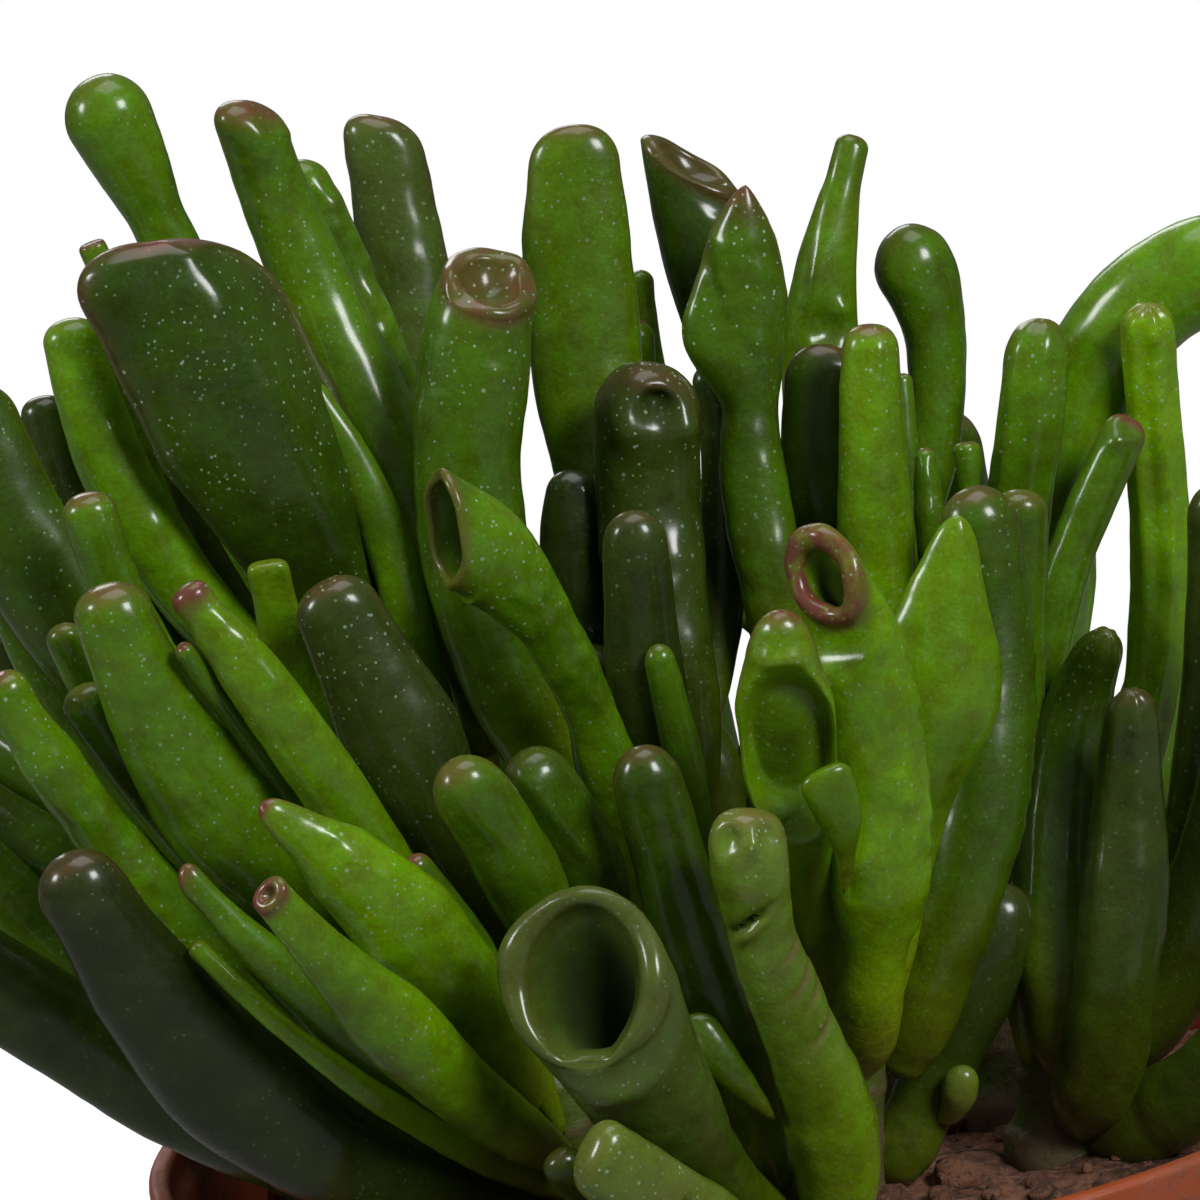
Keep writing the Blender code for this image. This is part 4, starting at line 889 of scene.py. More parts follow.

# What sets single leaves apart. All but the last few are pairs of a share of the leaf's length and a
# number there. "swell" and "thick" widen and thicken it, "facing" turns a cup's mouth, "drop" draws its
# opening out to a point at an angle, "off" moves the opening across the mouth, "long" stretches it at an angle,
# "fold" turns one side back past a line from -1 to 1 across it, "tilt" slants a round end, "bulk" squares it over 2
# or sharpens its edges under 2, "ridges" and "lumps" are depths, "beads" are rows of wet bumps and "dents" hollows,
# whose last number paints a tan scar above 0 and painted shade below 0.
SHAPES = {
    "club_far_left": {"swell": ((0.6, 1), (0.78, 0.74), (0.88, 0.95), (0.95, 1.06), (1, 1.06)), "lumps": 0.6},
    "finger_left": {
        "tilt": 0.4,
        "cap": 1.6,
        "swell": ((0.8, 1), (0.93, 0.95), (1, 0.95)),
        "dents": (
            (0.985, 130, 1.6, 1.2, 30, 0.65, 0),
            (0.965, 160, 0.9, 0.8, 0, -0.35, 0),
        ),
        "beads": ((0.84, 0.95, 100, 6), (0.85, 0.95, 70, 4)),
    },
    "ridged_left": {"lumps": 2.6, "beads": ((0.3, 0.92, 115, 20), (0.45, 0.9, 140, 14))},
    "dark_left_back": {"tilt": 0.35, "bulk": 2.2, "lumps": 1.8, "swell": ((0.8, 1), (0.93, 1.0), (1, 0.9))},
    "broad_left": {
        "fold": (-0.3, 1.1),
        "tilt": 0.42,
        "bulk": 2.4,
        "lumps": 1.8,
        "swell": ((0.6, 1), (0.9, 0.92), (1, 0.86)),
        "dents": ((0.97, 70, 0.5, 4.0, 0, -0.45, 0), (0.97, 110, 0.5, 2.4, 0, -0.4, 0)),
        "beads": ((0.7, 0.93, 60, 9), (0.72, 0.92, 88, 9), (0.7, 0.9, 105, 7)),
    },
    "striped_left": {"swell": ((0.3, 1.1), (0.6, 1.2), (1, 1.1)), "beads": ((0.5, 0.8, 100, 4),)},
    "shade_far_left": {
        "ridges": 0.2,
        "swell": ((0.3, 1.2), (1, 1.2)),
        "beads": ((0.4, 0.9, 95, 12), (0.35, 0.8, 125, 9)),
    },
    "long_red_tip": {
        "cap": 3.0,
        "swell": ((0.2, 1.0), (0.5, 1.0), (0.8, 1.15), (0.91, 1.1), (0.955, 0.82), (1, 1.0)),
        "beads": ((0.75, 0.92, 120, 8),),
    },
    "big_left_front": {
        "swell": ((0.2, 1.1), (0.4, 1.25), (0.7, 1.2), (1, 1)),
        "lumps": 1.5,
        "beads": ((0.4, 0.62, 135, 8), (0.7, 0.95, 125, 6)),
    },
    "knob_tip": {
        "swell": ((0.6, 1.05), (0.8, 1.0), (0.9, 0.72), (0.96, 0.62), (1, 0.7)),
        "lumps": 1.5,
        "beads": ((0.2, 0.6, 25, 16), (0.5, 0.85, 110, 12)),
    },
    "button_tip": {"bent": True, "swell": ((0.3, 1.1), (0.7, 1.05), (0.9, 0.75), (1, 0.72)), "beads": ((0.3, 0.8, 110, 10),)},
    "crescent_left": {"cap": 2.2, "tilt": -0.4, "swell": ((0.6, 0.9), (0.85, 0.75), (1, 0.7))},
    "red_tip_left": {"lumps": 2.0, "beads": ((0.5, 0.95, 105, 14), (0.55, 0.9, 70, 10))},
    "dark_front_left": {"swell": ((0.4, 1), (0.7, 1.05), (1, 1.05))},
    "cup_tall": {
        "facing": (3.2, -5.2, 8),
        "swell": ((0.7, 1), (0.88, 1.0), (1, 0.86)),
        "lumps": 1.6,
        "wave": 0.35,
        "off": (0.0, 0.04),
    },
    "paddle": {"bulk": 2.2, "tilt": -0.08, "thick": ((0.7, 1), (1, 0.85)), "swell": ((0.6, 1.04), (0.85, 1.08), (1, 0.95))},
    "cup_dark": {
        "lumps": 2.0,
        "swell": ((0.8, 1), (0.93, 0.96), (1, 0.86)),
        "dents": (
            # The first dent is a dimple with painted shade in it.
            (0.955, 103, 1.5, 1.7, 0, 2.4, -0.5),
            (0.9, 72, 1.8, 1.5, 0, -0.7, 0),
            (0.915, 136, 1.5, 1.4, 0, -0.6, 0),
            (0.99, 90, 1.0, 2.2, 0, -0.5, 0),
        ),
    },
    "funnel_high": {
        "facing": (5.5, -3, 7.5),
        "thick": ((0.5, 1), (0.8, 0.85), (1, 0.62)),
        "swell": ((0.4, 0.95), (0.7, 1.0), (1, 1.1)),
        "wave": 0.15,
    },
    "spoon_high": {
        "cap": 2.5,
        "swell": ((0.5, 0.85), (0.6, 0.74), (0.7, 0.92), (0.8, 1.0), (0.88, 0.8), (0.95, 0.55), (1, 0.42)),
        "thick": ((0.6, 1), (0.8, 0.85), (1, 1.0)),
        "lumps": 1.8,
        "dents": (
            (0.74, 12, 4.2, 3.2, -20, -1.9, 0),
            (0.8, 55, 4.5, 0.9, 14, 0.8, 0),
            (0.62, 20, 2.6, 2.6, 0, 0.8, 0),
        ),
        "beads": ((0.66, 0.9, 80, 7), (0.68, 0.86, 115, 6)),
    },
    "horn": {
        "swell": ((0.3, 1), (0.5, 1.2), (0.65, 1.22), (0.8, 1.2), (0.93, 1.25), (1, 1.15)),
        "dents": (
            (0.62, 100, 2.0, 1.8, 0, 0.9, 0),
            (0.66, 120, 1.0, 1.0, 0, -0.7, 0),
            (0.57, 95, 0.9, 2.4, 0, -0.5, 0),
            (0.7, 75, 5.0, 0.9, 0, -0.5, 0),
        ),
    },
    "finger_centre": {"swell": ((0.85, 1), (1, 0.9)), "beads": ((0.8, 0.95, 100, 6),)},
    "s_curve": {"swell": ((0.3, 0.82), (0.5, 0.98), (0.75, 0.92), (0.9, 1.02), (1, 1.02)), "lumps": 1.3},
    "finger_right": {"ridges": 0.1, "lumps": 1.3},
    "ring": {
        "facing": (-5.4, -8.3, 1.5),
        "bent": True,
        "swell": ((0.1, 1.5), (0.3, 0.95), (0.34, 1.0), (0.42, 1.25), (0.6, 1.15), (0.8, 0.98), (1, 0.8)),
        "thick": ((0.6, 1), (0.85, 1.15), (1, 1.72)),
        "setback": 1.6,
        "off": (0.08, 0.0),
        "drop": (95, 0.25),
        "bulk": 2.0,
        "lumps": 1.8,
        "wave": 0.12,
        "beads": ((0.36, 0.85, 168, 20), (0.5, 0.8, 120, 7)),
    },
    "slim_right": {"ridges": 0.16, "swell": ((0.3, 1.1), (1, 1.1)), "beads": ((0.3, 0.95, 100, 14),)},
    "pink_cup_right": {
        "swell": ((0.8, 1), (1, 0.9)),
        "dents": ((0.985, 100, 0.9, 1.2, 0, 0.8, 0), (0.95, 80, 0.8, 0.8, 0, -0.4, 0)),
    },
    "spout": {
        "channel": (0.5, 0.92, 92, 78, 3.6),
        # The first dent only paints shade into the channel.
        "dents": ((0.7, 92, 4.6, 2.0, 0, 0.0, -0.75), (0.915, 92, 0.7, 2.4, 0, -0.5, 0.25)),
        "swell": ((0.6, 1.15), (0.8, 1.2), (0.9, 0.9), (1, 0.7)),
        "beads": ((0.88, 0.96, 70, 4),),
    },
    "flat_bright": {
        "fold": (-0.45, 0.5),
        "bulk": 1.8,
        "swell": ((0.25, 0.75), (0.4, 0.85), (0.55, 1.15), (0.7, 1.28), (0.85, 1.0), (0.95, 0.7), (1, 0.62)),
    },
    "crescent_right": {"bulk": 2.0, "swell": ((0.05, 1.5), (0.2, 1.1), (0.6, 1), (0.78, 0.9), (1, 1.04)), "beads": ((0.4, 0.8, 175, 9),)},
    "upright_right": {"swell": ((0, 2), (0.15, 1.35), (0.3, 1.1), (0.85, 1), (1, 0.8)), "ridges": 0.08},
    "upright_right_front": {
        "swell": ((0, 2.2), (0.15, 1.3), (0.3, 1.05), (0.85, 1), (1, 0.85)),
        "ridges": 0.08,
        "beads": ((0.75, 0.93, 95, 5),),
    },
    "dark_far_right": {"swell": ((0, 2), (0.2, 1.3), (0.4, 1.05), (1, 1))},
    "low_right": {"swell": ((0, 2), (0.2, 1.2), (0.4, 1.0), (1, 1))},
    "under_crescent": {"swell": ((0, 2), (0.2, 1.2), (0.4, 1.0), (1, 1))},
    "arching_right": {"swell": ((0, 1.3), (0.5, 1.05), (1, 1.05)), "lumps": 1.4},
    "trumpet": {
        "bent": True,
        "facing": (-2.6, -9, 2.8),
        "drop": (62, 0.3),
        "long": (50, 0.1),
        "flare": 0.72,
        "lumps": 1.8,
        "wave": 0.3,
        "swell": ((0.5, 0.95), (0.75, 0.92), (0.92, 0.93), (1, 0.95)),
        "thick": ((0.8, 1), (1, 1.1)),
    },
    "front_stub": {
        "lumps": 1.5,
        "bulk": 2.3,
        "tilt": -0.25,
        "dents": (
            # The first and third dents are craters with painted shade in them.
            (0.74, 105, 0.75, 0.6, 0, 1.0, -1),
            (0.76, 97, 0.5, 0.9, 0, -0.35, 0.5),
            (0.5, 118, 0.8, 0.5, 20, 0.8, -0.8),
            (0.53, 112, 0.4, 0.8, 20, -0.3, 0.6),
            (0.75, 90, 8.0, 8.0, 0, 0.0, 0.3),
        ),
    },
    "cracked_front": {
        "bulk": 2.3,
        "lumps": 1.8,
        "swell": ((0, 1.4), (0.2, 1.15), (0.6, 0.95), (0.72, 0.88), (0.86, 1.02), (1, 1)),
        "dents": (
            (0.96, 55, 1.3, 1.1, 0, 1.0, 0),
            (0.965, 130, 1.3, 1.2, 0, 1.1, 0),
            (0.955, 95, 0.9, 0.8, 0, -0.5, 0),
            # This dent is the crack, with painted shade in it.
            (0.795, 72, 0.35, 2.2, 32, 1.3, -1),
            (0.775, 74, 0.4, 2.2, 32, -0.5, 0.4),
            (0.86, 85, 0.9, 1.1, 0, 0.0, 0.5),
            (0.7, 134, 0.35, 2.0, 28, 0.25, 1),
            (0.63, 132, 0.4, 2.6, 28, 0.25, 1),
            (0.58, 138, 0.35, 1.6, 28, 0.2, 0.9),
            (0.5, 130, 0.35, 2.4, 25, 0.25, 0.9),
        ),
    },
    "front_slim": {"swell": ((0.85, 1), (1, 0.9))},
    "ear": {
        "facing": (-9, -4.2, 0.6),
        "bent": True,
        "swell": ((0.35, 1), (0.55, 0.86), (0.72, 0.75), (0.86, 0.86), (1, 1.18)),
        "thick": ((0.6, 1), (0.85, 1), (1, 0.95)),
        "beads": ((0.3, 0.8, 118, 12), (0.6, 0.88, 88, 11), (0.66, 0.88, 140, 5)),
        "lumps": 1.8,
        "wave": 0.2,
    },
    "pair_left": {"dents": ((0.86, 78, 4.0, 0.8, 6, -0.4, 0),)},
    "pair_right": {
        "swell": ((0.3, 1.1), (0.7, 1.2), (1, 1.12)),
        "dents": ((0.75, 92, 8.0, 0.8, 8, -0.5, 0),),
    },
    "tiny_a": {"lumps": 3.5, "beads": ((0.7, 0.97, 90, 8),)},
    "tiny_b": {"lumps": 3.5, "beads": ((0.7, 0.97, 90, 8),)},
    "pale_bud": {"dents": ((0.6, 90, 4.0, 4.0, 0, 0.0, 0.55),)},
    "stub_left": {"bulk": 2.6},
    "bud_left_b": {"facing": (-8, -6, 4)},
    "flat_square": {"bulk": 3.0},
}
PLAIN_SHAPE = {
    "bulk": 2.15,
    "lumps": 1.0,
    "ridges": 0.0,
    "tilt": 0.0,
    "wave": 0.0,
    "cap": 1.0,
    "flare": 1.5,
    "setback": 1.0,
    "bent": False,
}


def seat_on_stem(points, stem, radius):
    """The leaf's line with its base moved to the nearest place on the stem's side that it grows from."""
    points = np.array(points, float)
    axis = line_at(stem, np.linspace(0.04, 1, 49))
    nearest = np.argmin(np.linalg.norm(axis - points[0], axis=1))
    up = unit(np.gradient(axis, axis=0))[nearest]
    out = points[1] - axis[nearest]
    out = unit(out - up * (out @ up))
    reach = LEAF_BASE_RADIUS + LEAF_SEAT_GAP
    points[0] = axis[nearest] + out * (stem_radius(radius, nearest / 48) + reach)
    return points


def nearest_stem(base):
    def distance(name):
        axis = line_at(STEMS[name][0], np.linspace(0, 1, 25))
        return np.linalg.norm(axis - np.array(base, float), axis=1).min()

    return min(STEMS, key=distance)


def leaf_width(widths, shares):
    """The leaf's width along it, from its narrow base."""
    low, _, high = widths
    return np.interp(shares, (0, 0.08, *LEAF_KNOTS, 1), (0.4 * low, 0.7 * low, *widths, high))


def leaf_line(leaf, shares):
    shares = np.asarray(shares, float)
    bend = np.stack([shares, shares**2, shares**3], axis=1) @ leaf["bend"]
    return line_at(leaf["line"], shares) + bend


def crowd_balls(line, shares, widths, flat):
    """Three balls across each place on a leaf, for working out which leaves press on which."""
    side, _, _ = side_and_face(line)
    width = leaf_width(widths, shares)
    radius = 0.5 * width * flat
    reach = (0.5 * width - radius)[:, None] * side
    return np.concatenate([line - reach, line, line + reach]), np.tile(radius, 3)


def rim_balls():
    """Balls along the pot's lip, which leaves hang over and don't cut into."""
    around = 2 * np.pi * np.arange(RIM_BALLS) / RIM_BALLS
    lip = POT_RIM_RADIUS - 1.5
    height = np.full(RIM_BALLS, POT_HEIGHT - 2.5)
    balls = np.stack([lip * np.cos(around), lip * np.sin(around), height], axis=1)
    return balls, np.full(RIM_BALLS, RIM_BALL_RADIUS)


def spread_leaves(leaves, settled):
    """Lets crowded leaves press one another aside, round what is settled already.

    Each leaf bends smoothly from its base, which stays on its stem. The bends come back as three
    numbers an axis for each leaf: what its share, the share squared and the share cubed are times.
    """
    shares = np.linspace(0.1, 1, CROWD_PLACES)
    shapes = np.stack([shares, shares**2, shares**3], axis=1)
    smooth = shapes @ np.linalg.pinv(shapes)
    groups = []
    for index, leaf in enumerate(leaves):
        balls, radius = crowd_balls(line_at(leaf["line"], shares), shares, leaf["widths"], leaf["flat"])
        groups.append((balls, radius, index, np.tile(np.arange(CROWD_PLACES), 3), leaf["shoot"]))
    groups += [(balls, radius, STEM, 0, number) for balls, radius, number in settled]
    groups.append((*rim_balls(), RIM, 0, NO_SHOOT))
    home, radii = (np.concatenate([group[part] for group in groups]) for part in (0, 1))
    owner, place, shoot = (
        np.concatenate([np.broadcast_to(group[part], len(group[0])) for group in groups])
        for part in (2, 3, 4)
    )
    fixed = owner < 0
    movers = np.count_nonzero(~fixed)
    near_base = fixed | (place < 3)
    one_shoot = (shoot[:movers, None] == shoot) & (shoot > NO_SHOOT)
    may_press = (owner[:movers, None] != owner) & ~(near_base[:movers, None] & near_base & one_shoot)
    may_press = np.triu(may_press)
    search = (radii[:movers, None] + radii + CROWD_SEARCH) ** 2
    bends = np.zeros((len(leaves), CROWD_PLACES, 3))
    for step in range(CROWD_STEPS):
        balls = home + np.where(fixed[:, None], 0, bends[owner, place])
        if step % CROWD_SEARCH_EVERY == 0:
            squares = (balls**2).sum(axis=1)
            apart = squares[:movers, None] + squares - 2 * balls[:movers] @ balls.T
            first, second = np.nonzero(may_press & (apart < search))
        gap = balls[first] - balls[second]
        apart = np.linalg.norm(gap, axis=1) + 1e-9
        overlap = radii[first] + radii[second] + CROWD_GAP - apart
        touch = overlap > 0
        way = gap[touch] / apart[touch, None]
        on_rim = ((owner[first] == RIM) | (owner[second] == RIM))[touch]
        push = way * np.where(on_rim[:, None], 1, CROWD_EASE)
        push *= (overlap[touch] / (way * push).sum(axis=1))[:, None]
        size = np.linalg.norm(push, axis=1, keepdims=True)
        push *= np.minimum(1, CROWD_MOST / size) * CROWD_SHARE
        moves = np.zeros_like(bends)
        for balls_moved, sign in ((first[touch], 1), (second[touch], -1)):
            free = ~fixed[balls_moved]
            np.add.at(moves, (owner[balls_moved[free]], place[balls_moved[free]]), sign * push[free])
        bends = np.einsum("ij,njk->nik", smooth, bends + moves)
    return np.einsum("ij,njk->nik", np.linalg.pinv(shapes), bends)


def shoot_leaf(stem, place, compass, lean, length):
    """A back leaf's line: out of the stem at a lean, then curving upwards."""
    base = line_at(stem, [place])[0]

    def way(angle):
        angle, turn = math.radians(angle), math.radians(compass)
        flat = math.sin(angle)
        return np.array([flat * math.cos(turn), flat * math.sin(turn), math.cos(angle)])

    middle = base + 0.5 * length * way(min(lean + 10, 84))
    return base, middle, middle + 0.5 * length * way(lean - 12)


def front_leaf(name, row, shoot):
    points, widths, flat, mouth = row
    stem, radius = STEMS[nearest_stem(points[0])]
    is_bud = points[-1][2] - points[0][2] < BUD_HEIGHT
    line = np.array(points, float) if is_bud else seat_on_stem(points, stem, radius)
    leaf = {"name": name, "line": line, "widths": widths, "flat": flat, "mouth": mouth, "shoot": shoot}
    mesh = FRONT_MESH if shoot == NO_SHOOT else SMALL_MESH
    return {**leaf, "finish": FINISHES[name], "shape": {**PLAIN_SHAPE, **SHAPES.get(name, {})}, "mesh": mesh}


def back_leaf(name, number, row, finish):
    place, compass, lean, length, width = row
    line = shoot_leaf(BACK_STEMS[name][0], place, compass, lean, length)
    widths = (0.75 * width, width, 0.85 * width)
    leaf = {"name": name, "line": line, "widths": widths, "flat": 0.8, "mouth": None, "shoot": number}
    return {**leaf, "finish": finish, "shape": PLAIN_SHAPE, "mesh": SMALL_MESH}


def soften(values, reach):
    """Values with their corners rounded off over a reach of samples."""
    weights = np.hanning(2 * reach + 3)[1:-1]
    return np.convolve(np.pad(values, reach, mode="edge"), weights / weights.sum(), "valid")


def eased(values, low, high):
    share = np.clip((np.asarray(values, float) - low) / (high - low), 0, 1)
    return share * share * (3 - 2 * share)


FINE = 401
TIP_RINGS = 14
LIP_RINGS = 12
BOWL_RINGS = 12


def along_leaf(pairs, shares):
    """A factor along the leaf, through pairs of a share and a number, with no sudden change."""
    if not pairs:
        return np.ones_like(shares)
    return soften(np.interp(shares, *zip(*pairs)), FINE // 40)


def lip_and_bowl(rim, centre, leaf_way, end, shape):
    """Rings over a cup's lip and down inside it from its rim, how much painted shade darkens each, and its lowest
    point.
    """
    open_share, depth = end
    outer = rim - centre
    turn = np.linspace(0, 2 * math.pi, len(rim), endpoint=False)
    mouth = unit(np.cross(outer[0], outer[len(rim) // 4]))
    point_way, point_reach = shape.get("drop", (0, 0))
    toward = np.clip(np.cos(turn - math.radians(point_way)), 0, None) ** 6
    off_across, off_up = shape.get("off", (0, 0))
    offset = off_across * outer[0] + off_up * outer[len(rim) // 4]
    long_way, longer = shape.get("long", (0, 0))
    stretch = 1 + longer * np.cos(2 * (turn - math.radians(long_way)))
    opening = outer * np.minimum(open_share * stretch * (1 + point_reach * toward), 0.92)[:, None]
    inner = opening + offset
    gap = np.linalg.norm(outer - inner, axis=1)
    is_dish = depth < 0.9 * np.linalg.norm(inner - offset, axis=1).mean()
    roll_end = math.pi * (0.72 if is_dish else 1)
    waves = shape["wave"] * (np.sin(3 * turn + 1) + 0.6 * np.sin(5 * turn))
    rings, painted_shade = [], []
    for roll in np.linspace(0, roll_end, LIP_RINGS + 1)[1:]:
        inward = (1 - math.cos(roll)) / (1 - math.cos(roll_end))
        rise = 0.5 * gap * math.sin(roll) + waves * math.sin(math.pi * roll / roll_end)
        rings.append(centre + outer + (inner - outer) * inward + rise[:, None] * mouth)
        painted_shade.append(0)
    lip_end = rings[-1] - centre - offset
    middle = lip_end.mean(axis=0)
    for down in np.linspace(0, 1, BOWL_RINGS + 2)[1:]:
        if is_dish:
            reach, sunk, way = 1 - down**1.15, 1 - (1 - down) ** 2, mouth
        else:
            reach, sunk = 1 - 0.95 * down ** shape["flare"], down
            way = unit((1 - down**0.5) * mouth + down**0.5 * leaf_way)
        bowl = centre + offset + middle * (1 - down) + (lip_end - middle) * reach - way * depth * sunk
        rings.append(bowl)
        # Painted shade, darker the deeper into a cup's bowl.
        painted_shade.append(0.25 * down if is_dish else min(1, 1.6 * down + 1.4 * (1 - reach)))
    return np.array(rings[:-1]), np.array(painted_shade[:-1]), rings[-1].mean(axis=0)


def dented(rings, centres, along, shares, dents):
    """Rings pressed in at each dent, or out where its depth is below 0, and how each point is marked: a tan scar
    where the dent's last number is above 0, painted shade where it is below 0.
    """
    scar_and_shade = np.zeros(rings.shape[:2])
    sides = rings.shape[1]
    for share, turn, length, width, slant, depth, scar_and_shade_amount in dents:
        ring = int(np.argmin(np.abs(shares - share)))
        middle = rings[ring, round(turn / 360 * sides) % sides]
        out = unit(middle - centres[ring])
        way = unit(along[ring] - out * (along[ring] @ out))
        sideways = np.cross(out, way)
        slant = math.radians(slant)
        first = way * math.cos(slant) + sideways * math.sin(slant)
        second = sideways * math.cos(slant) - way * math.sin(slant)
        away = rings - middle
        spread = (away @ first / length) ** 2 + (away @ second / width) ** 2 + (away @ out / 3) ** 2
        press = np.exp(-spread)
        rings = rings - (depth * press)[..., None] * out
        scar_and_shade += scar_and_shade_amount * press
    return rings, scar_and_shade


def bead_dents(beads, number):
    """Small wet bumps in loose rows along a leaf, as dents that stand out."""
    draw = random.Random(number)
    found = []
    for start, end, turn, count in beads:
        for share in np.linspace(start, end, count):
            size = draw.uniform(0.45, 0.95)
            turned_to = turn + draw.uniform(-9, 9)
            found.append((share + draw.uniform(-0.01, 0.01), turned_to, 1.2 * size, size, 0, -0.3 * size, 0))
    return found


def leaf_skin(leaf, name, number):
    """One leaf: rings from its base to its tip, and over the lip into the bowl where it is cupped."""
    _, tone, blush, pores, end = leaf["finish"]
    shape, (sides, ring_count) = leaf["shape"], leaf["mesh"]
    fine = np.linspace(0, 1, FINE)
    line = leaf_line(leaf, fine)
    side, face, along = side_and_face(line)
    length = np.linalg.norm(np.diff(line, axis=0), axis=1).sum()
    width = soften(leaf_width(leaf["widths"], fine), FINE // 20) * along_leaf(shape.get("swell"), fine)
    width *= 1 + 0.03 * np.sin(2 * math.pi * (fine * 1.7 + number * 0.37)) * eased(fine, 0, 0.3)
    flat = leaf["flat"] * along_leaf(shape.get("thick"), fine)
    tip = leaf["widths"][2]
    cupped = isinstance(end, tuple)
    if cupped:
        last = 1 - MOUTH_SETBACK * shape["setback"] * tip / length
        shares = np.concatenate([np.linspace(0, last, ring_count), np.linspace(last, 1, TIP_RINGS + 1)[1:]])
        scale = np.ones_like(shares)
    else:
        last = 1 - DOME_LENGTH * tip / length * (1.3 if end < 2.2 else 1)
        round_end = np.linspace(0, math.pi / 2, TIP_RINGS + 2)[1:-1]
        shares = np.concatenate([np.linspace(0, last, ring_count), last + (1 - last) * np.sin(round_end)])
        reach = np.clip((shares - last) / (1 - last), 0, 1)
        scale = (1 - reach**end) ** (1 / end)
    at = np.round(shares * (FINE - 1)).astype(int)
    centres, across, up, ways = leaf_line(leaf, shares), side[at], face[at], along[at]
    half_widths = 0.5 * width[at] * scale
    half_heights = np.maximum(half_widths * flat[at], 0.9 * LEAF_BASE_RADIUS * scale)
    rings = ovals(centres, across, up, half_widths, half_heights, sides, shape["bulk"])
    turn = np.linspace(0, 2 * math.pi, sides, endpoint=False)
    margin = np.abs(np.cos(turn)) ** 10
    cap = 0.2 * min(tip, 7) * shape["cap"]
    to_tip = ((1 - shares) * length)[:, None]
    if cupped:
        red = 0.9 * (1 - eased(to_tip, 0, 0.8 * cap)) * np.ones(sides)
    else:
        red = 1 - eased(to_tip, 0.1 * cap, 1.3 * cap)
        red = np.maximum(red, 0.75 * margin * (1 - eased(to_tip, 0.2 * tip, 1.5 * tip)))
    body = eased(shares, 0.05, 0.3)
    if "fold" in shape:
        fold_at, fold_back = shape["fold"]
        sideways = np.cos(turn) if fold_at > 0 else -np.cos(turn)
        past = np.clip(sideways - abs(fold_at), 0, None) ** 1.1
        rings -= (past * (fold_back * half_widths * body)[:, None])[..., None] * up[:, None]
    rings += (shape["tilt"] * np.cos(turn) * (half_widths * body)[:, None])[..., None] * ways[:, None]
    outward = unit(rings - centres[:, None])
    if shape["ridges"]:
        ridges = shape["ridges"] * np.cos(7 * turn + 0.6 * np.sin(9 * shares)[:, None])
        rings += (ridges * body[:, None])[..., None] * outward
    if "channel" in shape:
        start, finish, channel_turn, half_angle, depth = shape["channel"]
        halfway = 0.5 * (start + finish)
        off_middle = np.clip((shares - halfway) / (finish - halfway), -1, 1)[:, None]
        off_turn = ((np.degrees(turn) - channel_turn + 180) % 360 - 180) / half_angle
        sunk = depth * (1 - eased(np.hypot(off_middle, off_turn), 0.55, 1))
        rings -= sunk[..., None] * (outward[:, round(channel_turn / 360 * sides)])[:, None]
    lumps = 0.22 * uneven(rings, 7, number * 31.7) + 0.07 * uneven(rings, 2.2, number * 17.3)
    rings += (shape["lumps"] * lumps * body[:, None])[..., None] * outward
    dents = list(shape.get("dents", ())) + bead_dents(shape.get("beads", ()), number)
    rings, scar_and_shade = dented(rings, centres, ways, shares, dents)
    painted_shade = np.zeros_like(shares)
    if cupped:
        mouth = unit(np.array(shape.get("facing", leaf["mouth"]), float))
        offsets = rings - centres[:, None]
        turned_way = eased(shares, last, 1)[:, None]
        if shape["bent"]:
            normal = unit((1 - turned_way) * ways + turned_way * mouth)
            new_across = unit(across - normal * (across * normal).sum(axis=1, keepdims=True))
            new_up = np.cross(normal, new_across)
            x = (offsets * across[:, None]).sum(axis=-1, keepdims=True)
            y = (offsets * up[:, None]).sum(axis=-1, keepdims=True)
            rings = centres[:, None] + x * new_across[:, None] + y * new_up[:, None]
        else:
            slide = (offsets @ mouth) / np.maximum(ways @ mouth, MOUTH_STEEPEST)[:, None]
            rings -= (slide * turned_way)[..., None] * ways[:, None]
        inside, inside_painted_shade, tip_point = lip_and_bowl(rings[-1], centres[-1], ways[-1], end, shape)
        rings = np.concatenate([rings, inside])
        more = len(inside_painted_shade)
        inside_red = 1 - (0.4 if inside_painted_shade.max() < 0.5 else 1) * eased(inside_painted_shade, 0, 0.3)
        red = np.concatenate([red, inside_red[:, None] * np.ones(sides)])
        painted_shade = np.concatenate([painted_shade, inside_painted_shade])
        shares = np.concatenate([shares, np.ones(more)])
        scar_and_shade = np.concatenate([scar_and_shade, np.zeros((more, sides))])
    else:
        tip_point = line[-1]
    marks = {
        "along": shares,
        "red": blush * red,
        # Painted shade in cup bowls and in dents whose last number is below 0.
        "painted_shade": np.maximum(painted_shade[:, None], np.clip(-scar_and_shade, 0, 1)),
        "scar": np.clip(scar_and_shade, 0, 1),
        # Stops lighter: partly the leaf's own tone, partly painted light and shade.
        "light": tone * np.ones_like(shares),
        "pores": pores * (0.35 + 0.65 * eased(shares, 0.3, 0.9)) * (1 - painted_shade),
    }
    return skin(name, rings, line[0] - along[0] * 1.5, tip_point, marks)


